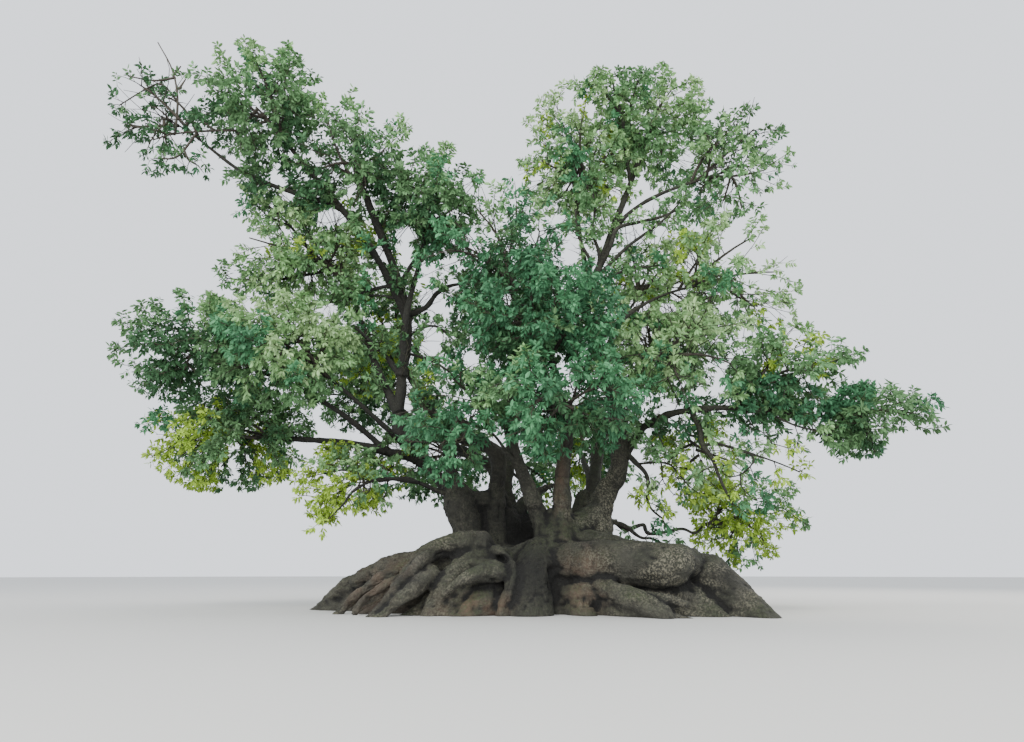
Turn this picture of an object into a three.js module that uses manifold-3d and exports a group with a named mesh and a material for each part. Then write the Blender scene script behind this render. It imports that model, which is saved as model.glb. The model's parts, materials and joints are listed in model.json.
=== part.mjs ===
/*
 * An old ombu: a broad evergreen with a swollen root flare, several stems that rise from it,
 * boughs that lean outwards, and a crown of separate leafy masses with sky between them.
 *
 * Millimetres, +Z up. The origin is on the ground under the middle of the trunk, the side that
 * is seen faces -Y, and nothing reaches below the ground at z = 0.
 */
import * as THREE from 'three';
import { mergeVertices } from 'three/addons/utils/BufferGeometryUtils.js';
import Module from 'manifold-3d';

const wasm = await Module();
wasm.setup();

// Sizes in the tables below are in metres, and METRE turns them into millimetres.
const METRE = 1000;
const GAP = 0.3;                       // clearance between neighbouring pieces, in millimetres

// Trunk: a low dome of fused roots. Across and deep are its half width and half depth.
const DOME = { across: 3.1, deep: 2.2, top: 2.0, sunk: 1.0, sides: 16, rows: 3 };
const GROUND_CUT = 30;                 // side of the block that cuts the trunk off level
const ROOT_SIDES = 8;
const ROOT_STEPS = 5;

/*
 * Roots that show above the ground, each a ridge that stands on it. Bearings are in degrees from
 * +X towards +Y, so the front is at 270. A root starts at the distance inner from the trunk's
 * axis with its crest at the height top, swings by bend, mostly near its end, falls by the power
 * fall of its length and meets the ground at reach. Girth and foot are half its width at its
 * start and at its end.
 */
const FRONT_ROOTS = [
  { bearing: 190, bend: -13, inner: 1.0, reach: 6.6, top: 2.2, fall: 2.1, girth: 0.6, foot: 0.3 },
  { bearing: 201, bend: -2, inner: 1.2, reach: 5.3, top: 1.75, fall: 1.7, girth: 0.55, foot: 0.25 },
  { bearing: 222, bend: -9, inner: 1.2, reach: 4.4, top: 1.8, fall: 1.7, girth: 0.55, foot: 0.28 },
  { bearing: 240, bend: -12, inner: 1.2, reach: 3.7, top: 1.35, fall: 2.6, girth: 0.5, foot: 0.32 },
  { bearing: 250, bend: 8, inner: 0.8, reach: 2.9, top: 1.95, fall: 2.6, girth: 0.7, foot: 0.5 },
  { bearing: 284, bend: 4, inner: 1.2, reach: 2.9, top: 1.0, fall: 2.2, girth: 0.42, foot: 0.3 },
  { bearing: 297, bend: 14, inner: 1.4, reach: 4.7, top: 1.2, fall: 1.5, girth: 0.4, foot: 0.16 },
  { bearing: 321, bend: 3, inner: 1.0, reach: 5.0, top: 1.7, fall: 3.2, girth: 0.75, foot: 0.42 },
  { bearing: 337, bend: -12, inner: 0.6, reach: 6.1, top: 1.95, fall: 3.8, girth: 0.85, foot: 0.34 },
];

// Roots round the back: a fan from the bearing first to the bearing last. Each one strays from
// the shape that they share by up to the swing, reach and top given here.
const BACK_ROOTS = { count: 6, first: 16, last: 152 };
const BACK_ROOT = { inner: 1.0, reach: 4.6, top: 1.95, girth: 0.68, foot: 0.26, fall: 1.5 };
const BACK_ROOT_STRAY = { swing: 9, reach: 0.8, top: 0.2 };

/*
 * Stems: the short thick feet that rise out of the root flare and end at their forks. Each one
 * starts inside the dome at foot, leans to top, and tapers from one radius to the other.
 */
const STEMS = {
  left_stem: { foot: [-1.8, 0.0, 1.2], top: [-2.65, -0.05, 3.3], girth: [0.72, 0.46] },
  middle_stem: { foot: [-1.5, 0.2, 1.4], top: [-1.45, 0.1, 3.3], girth: [0.42, 0.27] },
  back_left_stem: { foot: [-0.95, 0.9, 1.3], top: [-1.2, 1.5, 3.1], girth: [0.6, 0.34] },
  leaning_stem: { foot: [0.1, -0.6, 1.4], top: [-0.55, -1.0, 3.2], girth: [0.42, 0.22] },
  upright_stem: { foot: [0.38, -0.7, 1.4], top: [0.38, -1.0, 3.2], girth: [0.45, 0.24] },
  right_stem: { foot: [1.0, 0.1, 1.3], top: [1.72, 0.1, 3.3], girth: [0.52, 0.33] },
  back_right_stem: { foot: [0.75, 0.9, 1.3], top: [1.25, 1.7, 3.1], girth: [0.55, 0.33] },
};
const STEM_SIDES = 8;
const STEM_STEPS = 3;
const FLARE = 1.6;                     // power by which stems and roots narrow along their length

/*
 * Boughs, each with the leafy mass at its end. A bough leaves the stem or bough named in from,
 * at a share of that one's length, passes the points in via and heads for the middle of its
 * mass, at. Without via points it rises in an arch, a share of its length. Reach is the mass's
 * half width, half depth and half height.
 */
const BOUGHS = {
  upper_left_inner: {
    from: 'middle_stem', share: 0.8, girth: 0.25, at: [-5.8, -2.2, 12.8], reach: [1.8, 1.6, 1.8],
    via: [[-1.6, -0.1, 4.25], [-3.1, -0.2, 4.9], [-4.3, -0.3, 5.0], [-4.15, -0.4, 6.6],
      [-4.1, -0.4, 8.9]],
  },
  upper_left_outer: {
    from: 'upper_left_inner', share: 0.86, girth: 0.14, at: [-8.4, -3.0, 13.9],
    reach: [1.8, 1.6, 1.9],
  },
  tip_left: {
    from: 'upper_left_outer', share: 0.6, girth: 0.09, at: [-11.1, -3.0, 13.6],
    reach: [1.5, 1.2, 1.7], arch: -0.06,
  },
  upper_left_crest: {
    from: 'upper_left_inner', share: 0.72, girth: 0.14, at: [-3.6, -1.2, 11.9],
    reach: [1.7, 1.6, 1.6], arch: -0.05,
  },
  left_shoulder: {
    from: 'upper_left_inner', share: 0.62, girth: 0.13, at: [-7.4, -0.4, 10.7],
    reach: [2.4, 2.0, 2.0],
  },
  left_inner: {
    from: 'left_stem', share: 0.82, girth: 0.24, at: [-5.3, 1.8, 8.9], reach: [1.8, 1.7, 2.9],
    via: [[-2.95, 0.1, 4.3], [-3.6, 0.8, 5.8]],
  },
  left_low: {
    from: 'left_stem', share: 0.72, girth: 0.19, at: [-9.8, 1.0, 5.0], reach: [2.4, 2.0, 1.5],
    via: [[-3.6, 0.1, 3.9], [-4.7, 0.2, 4.5], [-6.0, 0.3, 4.85]],
  },
  left_far: {
    from: 'left_low', share: 0.62, girth: 0.1, at: [-10.4, -0.8, 7.3], reach: [1.9, 1.8, 1.5],
  },
  left_mid: {
    from: 'left_low', share: 0.4, girth: 0.11, at: [-7.6, -1.5, 7.0], reach: [2.0, 1.8, 1.5],
  },
  left_skirt: {
    from: 'left_stem', share: 0.84, girth: 0.1, at: [-5.7, 0.1, 3.5], reach: [1.5, 1.4, 1.1],
    via: [[-3.6, -0.4, 3.45], [-4.6, -0.5, 3.4]],
  },
  centre_top: {
    from: 'leaning_stem', share: 0.8, girth: 0.21, at: [-1.5, -1.4, 10.0], reach: [2.3, 1.8, 2.2],
    via: [[-0.95, -1.2, 5.0], [-1.0, -1.3, 8.0]],
  },
  centre_left_low: {
    from: 'centre_top', share: 0.22, girth: 0.08, at: [-2.5, -2.5, 4.9], reach: [1.4, 1.4, 1.6],
  },
  centre_mid: {
    from: 'upright_stem', share: 0.8, girth: 0.23, at: [-0.1, -3.0, 7.5], reach: [2.1, 1.7, 1.5],
    via: [[0.38, -1.1, 4.3], [0.3, -1.6, 5.6]],
  },
  centre_low: {
    from: 'centre_mid', share: 0.4, girth: 0.1, at: [0.2, -3.8, 5.0], reach: [1.9, 1.5, 1.3],
  },
  right_crest: {
    from: 'right_stem', share: 0.75, girth: 0.31, at: [3.7, 0.2, 15.5], reach: [1.9, 1.8, 2.0],
    via: [[1.95, 0.0, 4.2], [2.1, 0.1, 6.5], [1.72, 0.0, 8.5], [1.69, 0.0, 9.6]],
  },
  right_crest_left: {
    from: 'right_crest', share: 0.8, girth: 0.13, at: [1.3, 0.3, 14.3], reach: [2.0, 1.8, 2.6],
  },
  right_crown: {
    from: 'right_crest', share: 0.72, girth: 0.18, at: [6.0, -0.8, 13.3], reach: [1.6, 1.7, 2.2],
    via: [[2.9, -0.2, 12.0]],
  },
  right_shoulder: {
    from: 'right_crest', share: 0.56, girth: 0.14, at: [5.7, -0.8, 9.5], reach: [2.0, 1.8, 1.9],
  },
  right_inner: {
    from: 'right_crest', share: 0.5, girth: 0.14, at: [3.9, 2.2, 10.8], reach: [2.2, 1.8, 2.4],
  },
  right_mid: {
    from: 'right_crest', share: 0.42, girth: 0.12, at: [3.5, -2.4, 6.6], reach: [2.0, 1.6, 1.5],
  },
  right_arm: {
    from: 'right_crest', share: 0.2, girth: 0.17, at: [8.4, -2.2, 4.8], reach: [1.7, 1.4, 0.9],
    via: [[2.7, -0.6, 5.1], [3.8, -1.3, 5.45], [5.05, -1.9, 5.3], [6.1, -2.1, 5.05]],
  },
  right_outer: {
    from: 'right_arm', share: 0.66, girth: 0.08, at: [6.8, -1.8, 6.2], reach: [1.7, 1.7, 1.2],
  },
  right_low: {
    from: 'right_arm', share: 0.3, girth: 0.08, at: [4.8, 1.0, 4.2], reach: [1.7, 1.5, 1.2],
  },
  right_skirt: {
    from: 'right_stem', share: 0.5, girth: 0.16, at: [6.6, 3.0, 2.7], reach: [1.8, 1.6, 1.5],
    via: [[2.2, 1.0, 2.35], [3.2, 1.6, 2.15], [4.4, 2.3, 2.3]],
  },
  back_centre: {
    from: 'back_left_stem', share: 0.8, girth: 0.24, at: [-0.8, 5.0, 10.5], reach: [2.3, 2.2, 2.0],
    via: [[-1.15, 2.0, 4.6], [-1.1, 2.6, 7.0]],
  },
  back_left: {
    from: 'back_left_stem', share: 0.6, girth: 0.2, at: [-6.5, 5.0, 8.0], reach: [2.4, 2.2, 1.9],
    via: [[-1.9, 2.3, 4.3], [-3.7, 3.6, 5.8]],
  },
  back_left_low: {
    from: 'back_left', share: 0.35, girth: 0.14, at: [-4.0, 6.5, 5.2], reach: [2.3, 2.0, 1.6],
  },
  back_right: {
    from: 'back_right_stem', share: 0.75, girth: 0.27, at: [5.0, 4.8, 9.5], reach: [2.3, 2.2, 2.0],
    via: [[1.8, 2.4, 4.5], [2.9, 3.4, 6.6]],
  },
  back_low: {
    from: 'back_right', share: 0.25, girth: 0.14, at: [1.6, 6.8, 5.6], reach: [2.3, 2.0, 1.8],
  },
};
const BOUGH_SIDES = 6;
const BOUGH_STEPS = 2;                 // between one point of its course and the next
const BOUGH_TIP = 0.45;                // radius at its mass, as a share of its radius at the foot
const ARCH = 0.1;                      // rise of its middle, as a share of its length
const CROOK = 0.03;                    // how far it wanders, as a share of its length
const CROOK_TURNS = [5.1, 6.7, 4.3];   // how often it wanders along X, Y and Z, in radians
const TENSION = 0.5;                   // of the curve through a bough's points

/*
 * Foliage: a mass is a stem that carries on from its bough, twigs from that stem, and leaves on
 * the twigs that each stand for a spray. A twig's reach is a share of its space's, and its
 * deepest start a share of the stem. A leaf's longest length is a share of the space's mean
 * reach, its width, thickness and widest place are shares of its length, and wall is the share
 * of the room in front of it that it may fill.
 */
const MASS_STEM = { tip: 0.45, steps: 2, sides: 3 };
const TWIGS = 4;
const TWIG = { foot: 0.06, tip: 0.035, sides: 3, reach: 0.45, deepest: 0.3 };
const LEAF = { longest: 1.1, width: 0.8, thickness: 0.05, widest: 0.45, corners: 3, wall: 0.97 };
const LEAF_TURN = { droop: 0.4, level: 0.3, roll: 1.0 };
const LEAF_PLACES = [
  { share: 0.96, side: 0, ahead: 1, tilt: 1.1 },
  { share: 0.85, side: 1, ahead: 0.5, tilt: 0 },
  { share: 0.7, side: -1, ahead: 0.5, tilt: 0 },
];
const LEAF_SIZES = [1, 0.86, 0.72];    // shares of the length that has room, tried in turn
const FULLNESS = 1.12;                 // a mass's space over its stated reach
const CELL_MARGIN = 0.01;              // half the clear way between two masses
const SEARCH_STEPS = 400;              // along a bough, to find where it enters its mass

const UP = new THREE.Vector3(0, 0, 1);
const ASIDE = new THREE.Vector3(1, 0, 0);
const STEEP = 0.8;                     // a limb that starts steeper than this is framed from X
const GOLDEN_ANGLE = Math.PI * (3 - Math.sqrt(5));
const MERGE = 0.001;                   // corners nearer than this are one, in millimetres
const SHUFFLE = { first: 12.9898, second: 78.233, scale: 43758.5453 };

// Materials: grey mossy bark, darker boughs and three greens of leaf
const BARK = { color: '#6f675a', roughness: 0.92, metalness: 0 };
const BOUGH_BARK = { color: '#4f4a40', roughness: 0.92, metalness: 0 };
const LEAF_GREENS = ['#3f5c2a', '#4c6a30', '#5b7a37'];

function toPoint(metres) {
  return new THREE.Vector3(...metres).multiplyScalar(METRE);
}

/* A repeatable number from 0 to 1 for a pair of counts. */
function chance(first, second) {
  const wave = SHUFFLE.scale * Math.sin(first * SHUFFLE.first + second * SHUFFLE.second);
  return wave - Math.floor(wave);
}

/* A closed solid from a three.js geometry, with its shared vertices merged. */
function toSolid(geometry) {
  geometry.deleteAttribute('normal');
  geometry.deleteAttribute('uv');
  const merged = mergeVertices(geometry, MERGE);
  return new wasm.Manifold(new wasm.Mesh({
    numProp: 3,
    vertProperties: new Float32Array(merged.getAttribute('position').array),
    triVerts: new Uint32Array(merged.getIndex().array),
  }));
}

function join(solids) {
  return solids.reduce((whole, next) => whole.add(next));
}

/* The bodies of a mesh, each as a list of its triangles, with the volume that it holds. */
function bodiesOf(mesh) {
  const { vertProperties: place, triVerts: corners } = mesh;
  const leader = Array.from({ length: place.length / 3 }, (_, index) => index);
  const find = (index) => {
    let top = index;
    while (leader[top] !== top) {
      leader[top] = leader[leader[top]];
      top = leader[top];
    }
    return top;
  };
  for (let corner = 0; corner < corners.length; corner += 3) {
    leader[find(corners[corner + 1])] = find(corners[corner]);
    leader[find(corners[corner + 2])] = find(corners[corner]);
  }
  const bodies = new Map();
  const [a, b, c] = [new THREE.Vector3(), new THREE.Vector3(), new THREE.Vector3()];
  for (let corner = 0; corner < corners.length; corner += 3) {
    const key = find(corners[corner]);
    if (!bodies.has(key)) bodies.set(key, { triangles: [], volume: 0 });
    const body = bodies.get(key);
    const triangle = [corners[corner], corners[corner + 1], corners[corner + 2]];
    a.fromArray(place, 3 * triangle[0]);
    b.fromArray(place, 3 * triangle[1]);
    c.fromArray(place, 3 * triangle[2]);
    body.triangles.push(...triangle);
    body.volume += a.dot(b.cross(c)) / 6;
  }
  return [...bodies.values()];
}

/* The three.js geometry of a solid's largest body: loose scraps and sealed hollows are dropped. */
function toGeometry(solid) {
  const mesh = solid.getMesh();
  const bodies = bodiesOf(mesh).sort((one, other) => other.volume - one.volume);
  const used = new Map();
  const place = [];
  const index = bodies[0].triangles.map((vertex) => {
    if (!used.has(vertex)) {
      used.set(vertex, used.size);
      place.push(...mesh.vertProperties.slice(3 * vertex, 3 * vertex + 3));
    }
    return used.get(vertex);
  });
  const geometry = new THREE.BufferGeometry();
  geometry.setAttribute('position', new THREE.Float32BufferAttribute(place, 3));
  geometry.setIndex(index);
  geometry.computeVertexNormals();
  return geometry;
}

/* The line that a limb follows: a smooth curve through its points, with a slight crook. */
class Course extends THREE.Curve {
  constructor(points, seed) {
    super();
    this.line = new THREE.CatmullRomCurve3(points, false, 'catmullrom', TENSION);
    this.wander = CROOK * points[0].distanceTo(points[points.length - 1]);
    this.seed = seed;
  }

  getPoint(share, target = new THREE.Vector3()) {
    this.line.getPoint(share, target);
    const swing = this.wander * Math.sin(Math.PI * share);
    const [x, y, z] = CROOK_TURNS.map((turns, axis) => Math.sin(turns * share + this.seed + axis));
    return target.add(new THREE.Vector3(x, y, z).multiplyScalar(swing));
  }
}

/* The shares 0 to 1 in a number of equal steps. */
function evenShares(steps) {
  return Array.from({ length: steps + 1 }, (_, step) => step / steps);
}

/* Points, directions and radii along a course between two shares of its length. */
function stationsAlong(course, from, to, steps, radiusAt) {
  const shares = evenShares(steps).map((share) => from + (to - from) * share);
  return shares.map((share) => ({
    point: course.getPoint(share),
    along: course.getTangent(share),
    radius: radiusAt(share),
  }));
}

/*
 * A cylinder bent onto a row of stations, each with its radius, or half width and half height.
 * The sideways direction is carried along without twisting, and swell adds to every radius and
 * to both ends.
 */
function limbGeometry(stations, sides, swell = 0) {
  const steps = stations.length - 1;
  const shape = new THREE.CylinderGeometry(1, 1, 1, sides, steps);
  const place = shape.getAttribute('position');
  const first = stations[0].along;
  const helper = Math.abs(first.z) < STEEP ? UP : ASIDE;
  const sideways = new THREE.Vector3().crossVectors(first, helper);
  const frames = stations.map(({ along }) => {
    sideways.addScaledVector(along, -sideways.dot(along)).normalize();
    return { across: sideways.clone(), aside: new THREE.Vector3().crossVectors(sideways, along) };
  });
  for (let vertex = 0; vertex < place.count; vertex += 1) {
    const station = Math.round((place.getY(vertex) + 0.5) * steps);
    const { point, along, radius, tall = radius } = stations[station];
    const past = station === 0 ? -swell : (station === steps ? swell : 0);
    const spot = point.clone()
      .addScaledVector(frames[station].across, place.getX(vertex) * (radius + swell))
      .addScaledVector(frames[station].aside, place.getZ(vertex) * (tall + swell))
      .addScaledVector(along, past);
    place.setXYZ(vertex, spot.x, spot.y, spot.z);
  }
  return shape;
}

/* The dome of fused roots: a quarter ellipse over a straight skirt, turned about its axis. */
function domeGeometry(swell) {
  const radius = DOME.across * METRE + swell;
  const base = -DOME.sunk * METRE;
  const outline = [new THREE.Vector2(0, base), new THREE.Vector2(radius, base)];
  for (let row = 0; row < DOME.rows; row += 1) {
    const lift = (row / DOME.rows) * (Math.PI / 2);
    outline.push(new THREE.Vector2(radius * Math.cos(lift), (DOME.top * METRE + swell) * Math.sin(lift)));
  }
  outline.push(new THREE.Vector2(0, DOME.top * METRE + swell));
  const dome = new THREE.LatheGeometry(outline, DOME.sides);
  dome.rotateX(Math.PI / 2);
  dome.scale(1, (DOME.deep * METRE + swell) / radius, 1);
  return dome;
}

/*
 * A root's stations: it runs outwards and swings by its bend, its section an upright ellipse
 * from its crest down to a little under the ground.
 */
function rootStations({ bearing, bend, inner, reach, top, fall, girth, foot }) {
  const shares = evenShares(ROOT_STEPS);
  const crests = shares.map((share) => top * (1 - share ** fall));
  const spots = shares.map((share, step) => {
    const angle = THREE.MathUtils.degToRad(bearing + bend * share ** 2);
    const distance = inner + (reach - inner) * share;
    return toPoint([distance * Math.cos(angle), distance * Math.sin(angle), (crests[step] - foot) / 2]);
  });
  return spots.map((point, step) => ({
    point,
    along: spots[Math.min(step + 1, ROOT_STEPS)].clone().sub(spots[Math.max(step - 1, 0)]).normalize(),
    radius: (girth + (foot - girth) * shares[step] ** FLARE) * METRE,
    tall: ((crests[step] + foot) / 2) * METRE,
  }));
}

/* The roots round the back: an even fan with a little of its own swing, reach and top in each. */
function backRoots() {
  const { swing, reach, top } = BACK_ROOT_STRAY;
  return evenShares(BACK_ROOTS.count - 1).map((share, turn) => ({
    ...BACK_ROOT,
    bearing: BACK_ROOTS.first + (BACK_ROOTS.last - BACK_ROOTS.first) * share,
    bend: swing * (2 * chance(turn, 1) - 1),
    reach: BACK_ROOT.reach + reach * (2 * chance(turn, 2) - 1),
    top: BACK_ROOT.top + top * (2 * chance(turn, 3) - 1),
  }));
}

function stemStations({ foot, top, girth }) {
  const course = new THREE.LineCurve3(toPoint(foot), toPoint(top));
  const narrowed = (share) => (girth[1] + (girth[0] - girth[1]) * (1 - share) ** FLARE) * METRE;
  return stationsAlong(course, 0, 1, STEM_STEPS, narrowed);
}

/* The whole trunk: dome, roots and stems in one, cut level at the ground. */
function trunkSolid(swell) {
  const roots = [...FRONT_ROOTS, ...backRoots()].map((root) => (
    toSolid(limbGeometry(rootStations(root), ROOT_SIDES, swell))));
  const stems = Object.values(STEMS).map((stem) => (
    toSolid(limbGeometry(stemStations(stem), STEM_SIDES, swell))));
  const side = GROUND_CUT * METRE;
  const ground = new THREE.BoxGeometry(side, side, side);
  ground.translate(0, 0, -side / 2 - swell);
  return join([toSolid(domeGeometry(swell)), ...roots, ...stems]).subtract(toSolid(ground));
}

/*
 * The space of one mass: an ellipsoid, cut off by flat walls half way to the masses near it.
 * It is convex, so a twig or leaf lies in it where all of its corners do.
 */
class Cell {
  constructor(mass, masses) {
    this.middle = toPoint(mass.at);
    this.reach = toPoint(mass.reach).multiplyScalar(FULLNESS);
    this.size = Math.cbrt(this.reach.x * this.reach.y * this.reach.z);
    this.walls = [];
    for (const other of masses.filter((each) => each !== mass)) {
      const way = toPoint(other.at).sub(this.middle);
      const distance = way.length();
      const normal = way.normalize();
      const mine = normal.clone().multiply(this.reach).length();
      const theirs = FULLNESS * normal.clone().multiply(toPoint(other.reach)).length();
      if (mine + theirs > distance) {
        const limit = distance * (mine / (mine + theirs)) - CELL_MARGIN * METRE;
        this.walls.push({ normal, limit: limit + this.middle.dot(normal) });
      }
    }
  }

  holds(point, margin = 0) {
    const { x, y, z } = point.clone().sub(this.middle);
    const { x: wide, y: deep, z: tall } = this.reach;
    const inside = Math.hypot(x / (wide - margin), y / (deep - margin), z / (tall - margin)) <= 1;
    return inside && this.walls.every(({ normal, limit }) => point.dot(normal) <= limit - margin);
  }

  /* How far a line runs from a point inside before it leaves the space. */
  roomAlong(start, direction) {
    const from = start.clone().sub(this.middle).divide(this.reach);
    const step = direction.clone().divide(this.reach);
    const [square, cross, rest] = [step.lengthSq(), from.dot(step), from.lengthSq() - 1];
    const edge = (-cross + Math.sqrt(cross * cross - square * rest)) / square;
    return this.walls.reduce((least, { normal, limit }) => {
      const towards = direction.dot(normal);
      return towards > 0 ? Math.min(least, (limit - start.dot(normal)) / towards) : least;
    }, edge);
  }

  holdsAll(geometry) {
    const place = geometry.getAttribute('position');
    const corner = new THREE.Vector3();
    for (let vertex = 0; vertex < place.count; vertex += 1) {
      if (!this.holds(corner.fromBufferAttribute(place, vertex))) return false;
    }
    return true;
  }
}

/* A bough's course and the share of it at which it enters its mass. */
function layBough(row, parent, cell, seed) {
  const start = parent.course.getPoint(row.share * parent.end);
  const finish = toPoint(row.at);
  const length = start.distanceTo(finish);
  const middle = start.clone().lerp(finish, 0.5).addScaledVector(UP, (row.arch ?? ARCH) * length);
  const via = row.via ? row.via.map(toPoint) : [middle];
  const course = new Course([start, ...via, finish], seed);
  const tip = row.girth * BOUGH_TIP * METRE;
  let end = 1;
  while (end > 0 && cell.holds(course.getPoint(end - 1 / SEARCH_STEPS), tip)) {
    end -= 1 / SEARCH_STEPS;
  }
  return { course, end, girth: row.girth * METRE, tip };
}

function boughStations({ course, end, girth, tip }) {
  const steps = BOUGH_STEPS * (course.line.points.length - 1);
  return stationsAlong(course, 0, end, steps, (share) => girth + (tip - girth) * (share / end));
}

/* The stem of a mass: it starts clear of its bough's end and runs on along the same course. */
function massStemStations({ course, end, tip }) {
  const narrowed = (share) => tip * (1 + (MASS_STEM.tip - 1) * ((share - end) / (1 - end)));
  const stations = stationsAlong(course, end, 1, MASS_STEM.steps, narrowed);
  stations[0].point.addScaledVector(stations[0].along, GAP);
  return stations;
}

/* Even directions over a ball: each turns on by the golden angle as the height steps down. */
function evenDirection(turn, count, seed) {
  const height = 1 - (2 * turn + 1) / count;
  const angle = GOLDEN_ANGLE * turn + 2 * Math.PI * chance(seed, 3);
  const round = Math.sqrt(1 - height * height);
  return new THREE.Vector3(round * Math.cos(angle), round * Math.sin(angle), height);
}

/* A twig runs straight from the stem towards one side of the space. */
function twigCourse(stem, cell, turn, seed) {
  const side = evenDirection(turn, TWIGS, seed);
  const target = side.clone().multiply(cell.reach).multiplyScalar(TWIG.reach).add(cell.middle);
  const share = TWIG.deepest + (1 - TWIG.deepest) * ((turn + 0.5) / TWIGS);
  const start = stem.course.getPoint(stem.end + (1 - stem.end) * share);
  return new THREE.LineCurve3(start, target);
}

function twigGeometry(course) {
  const narrowed = (share) => (TWIG.foot + (TWIG.tip - TWIG.foot) * share) * METRE;
  return limbGeometry(stationsAlong(course, 0, 1, 1, narrowed), TWIG.sides);
}

/* A leaf: a flat blade from root to tip, widest at its middle, with a low keel on its face. */
function leafGeometry({ root, along, face }, length) {
  const across = new THREE.Vector3().crossVectors(along, face).normalize();
  const normal = new THREE.Vector3().crossVectors(across, along);
  const outline = [[0, 0], [length / 2, length * LEAF.widest], [0, length]];
  const blade = new THREE.LatheGeometry(outline.map((spot) => new THREE.Vector2(...spot)), LEAF.corners);
  blade.scale(LEAF.width, 1, LEAF.thickness);
  blade.applyMatrix4(new THREE.Matrix4().makeBasis(across, along, normal).setPosition(root));
  return blade;
}

/*
 * The leaves of a twig, from its tip inwards: one ahead, tilted about its own length to either
 * hand, and the rest to its two sides, where they face outwards along the outside of the space.
 * The two sides turn about the twig by a chance of their own on each twig.
 */
function twigLeaves(course, cell, turn, seed) {
  const hand = chance(seed + turn, 9) < 0.5 ? -1 : 1;
  return LEAF_PLACES.map(({ share, side, ahead, tilt }, place) => {
    const root = course.getPoint(share);
    const outward = root.clone().sub(cell.middle).divide(cell.reach).normalize();
    const aside = new THREE.Vector3().crossVectors(outward, UP).normalize()
      .applyAxisAngle(outward, LEAF_TURN.roll * (2 * chance(seed + turn, 4) - 1));
    const along = outward.clone().multiplyScalar(ahead)
      .addScaledVector(aside, side)
      .addScaledVector(UP, -LEAF_TURN.droop * chance(seed + turn, 5 + place))
      .normalize();
    const face = outward.clone().addScaledVector(UP, LEAF_TURN.level).normalize();
    return { root, along, face: face.applyAxisAngle(along, hand * tilt) };
  });
}

/* A solid with the box round it, so that far limbs need no test. */
function withBounds(geometry) {
  geometry.computeBoundingBox();
  return { bounds: geometry.boundingBox.clone(), solid: toSolid(geometry) };
}

function touches(one, other) {
  if (!one.bounds.intersectsBox(other.bounds)) return false;
  return one.solid.intersect(other.solid).getMesh().triVerts.length > 0;
}

/*
 * One mass: its stem, and every twig and leaf that stays in its space and clear of the limbs.
 * A leaf that would cross an earlier one is made smaller, or else skipped.
 */
function massSolid(bough, cell, limbs, seed) {
  const fits = (geometry, others) => {
    if (!cell.holdsAll(geometry)) return null;
    const piece = withBounds(geometry);
    return others.some((other) => touches(piece, other)) ? null : piece;
  };
  const stem = withBounds(limbGeometry(massStemStations(bough), MASS_STEM.sides));
  const twigs = [];
  const leaves = [];
  for (let turn = 0; turn < TWIGS; turn += 1) {
    const course = twigCourse(bough, cell, turn, seed);
    const twig = fits(twigGeometry(course), [...limbs, ...leaves]);
    if (twig) {
      for (const leaf of twigLeaves(course, cell, turn, seed)) {
        const others = [...limbs, stem, ...twigs, ...leaves];
        const room = LEAF.wall * cell.roomAlong(leaf.root, leaf.along);
        const length = Math.min(LEAF.longest * cell.size, room);
        const sized = (size) => fits(leafGeometry(leaf, size * length), others);
        const blade = LEAF_SIZES.reduce((found, size) => found ?? sized(size), null);
        if (blade) leaves.push(blade);
      }
      twigs.push(twig);
    }
  }
  return join([stem, ...twigs, ...leaves].map(({ solid }) => solid));
}

/* The tree: the trunk, then each bough cut clear of what is there already, then the masses. */
function buildTree() {
  const tree = new THREE.Group();
  const place = (name, solid, look) => {
    const piece = new THREE.Mesh(toGeometry(solid), new THREE.MeshStandardMaterial(look));
    piece.name = name;
    tree.add(piece);
  };
  place('trunk', trunkSolid(0), BARK);

  const rows = Object.entries(BOUGHS);
  const masses = rows.map(([, row]) => row);
  const laid = new Map(Object.entries(STEMS).map(([name, { foot, top }]) => (
    [name, { course: new THREE.LineCurve3(toPoint(foot), toPoint(top)), end: 1 }])));
  const limbs = [{ bounds: new THREE.Box3().setFromObject(tree), solid: trunkSolid(GAP) }];
  const cells = new Map();
  rows.forEach(([name, row], seed) => {
    const cell = new Cell(row, masses);
    const bough = layBough(row, laid.get(row.from), cell, seed);
    const stations = boughStations(bough);
    const piece = withBounds(limbGeometry(stations, BOUGH_SIDES));
    const cut = limbs.filter((limb) => touches(piece, limb))
      .reduce((rest, limb) => rest.subtract(limb.solid), piece.solid);
    place(`bough_${name}`, cut, BOUGH_BARK);
    laid.set(name, bough);
    cells.set(name, cell);
    limbs.push(withBounds(limbGeometry(stations, BOUGH_SIDES, GAP)));
  });
  rows.forEach(([name], seed) => {
    const solid = massSolid(laid.get(name), cells.get(name), limbs, seed);
    const color = LEAF_GREENS[seed % LEAF_GREENS.length];
    place(`foliage_${name}`, solid, { color, roughness: 0.7, metalness: 0 });
  });
  return tree;
}

export default buildTree();
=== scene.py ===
import itertools
import json
import math

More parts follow.
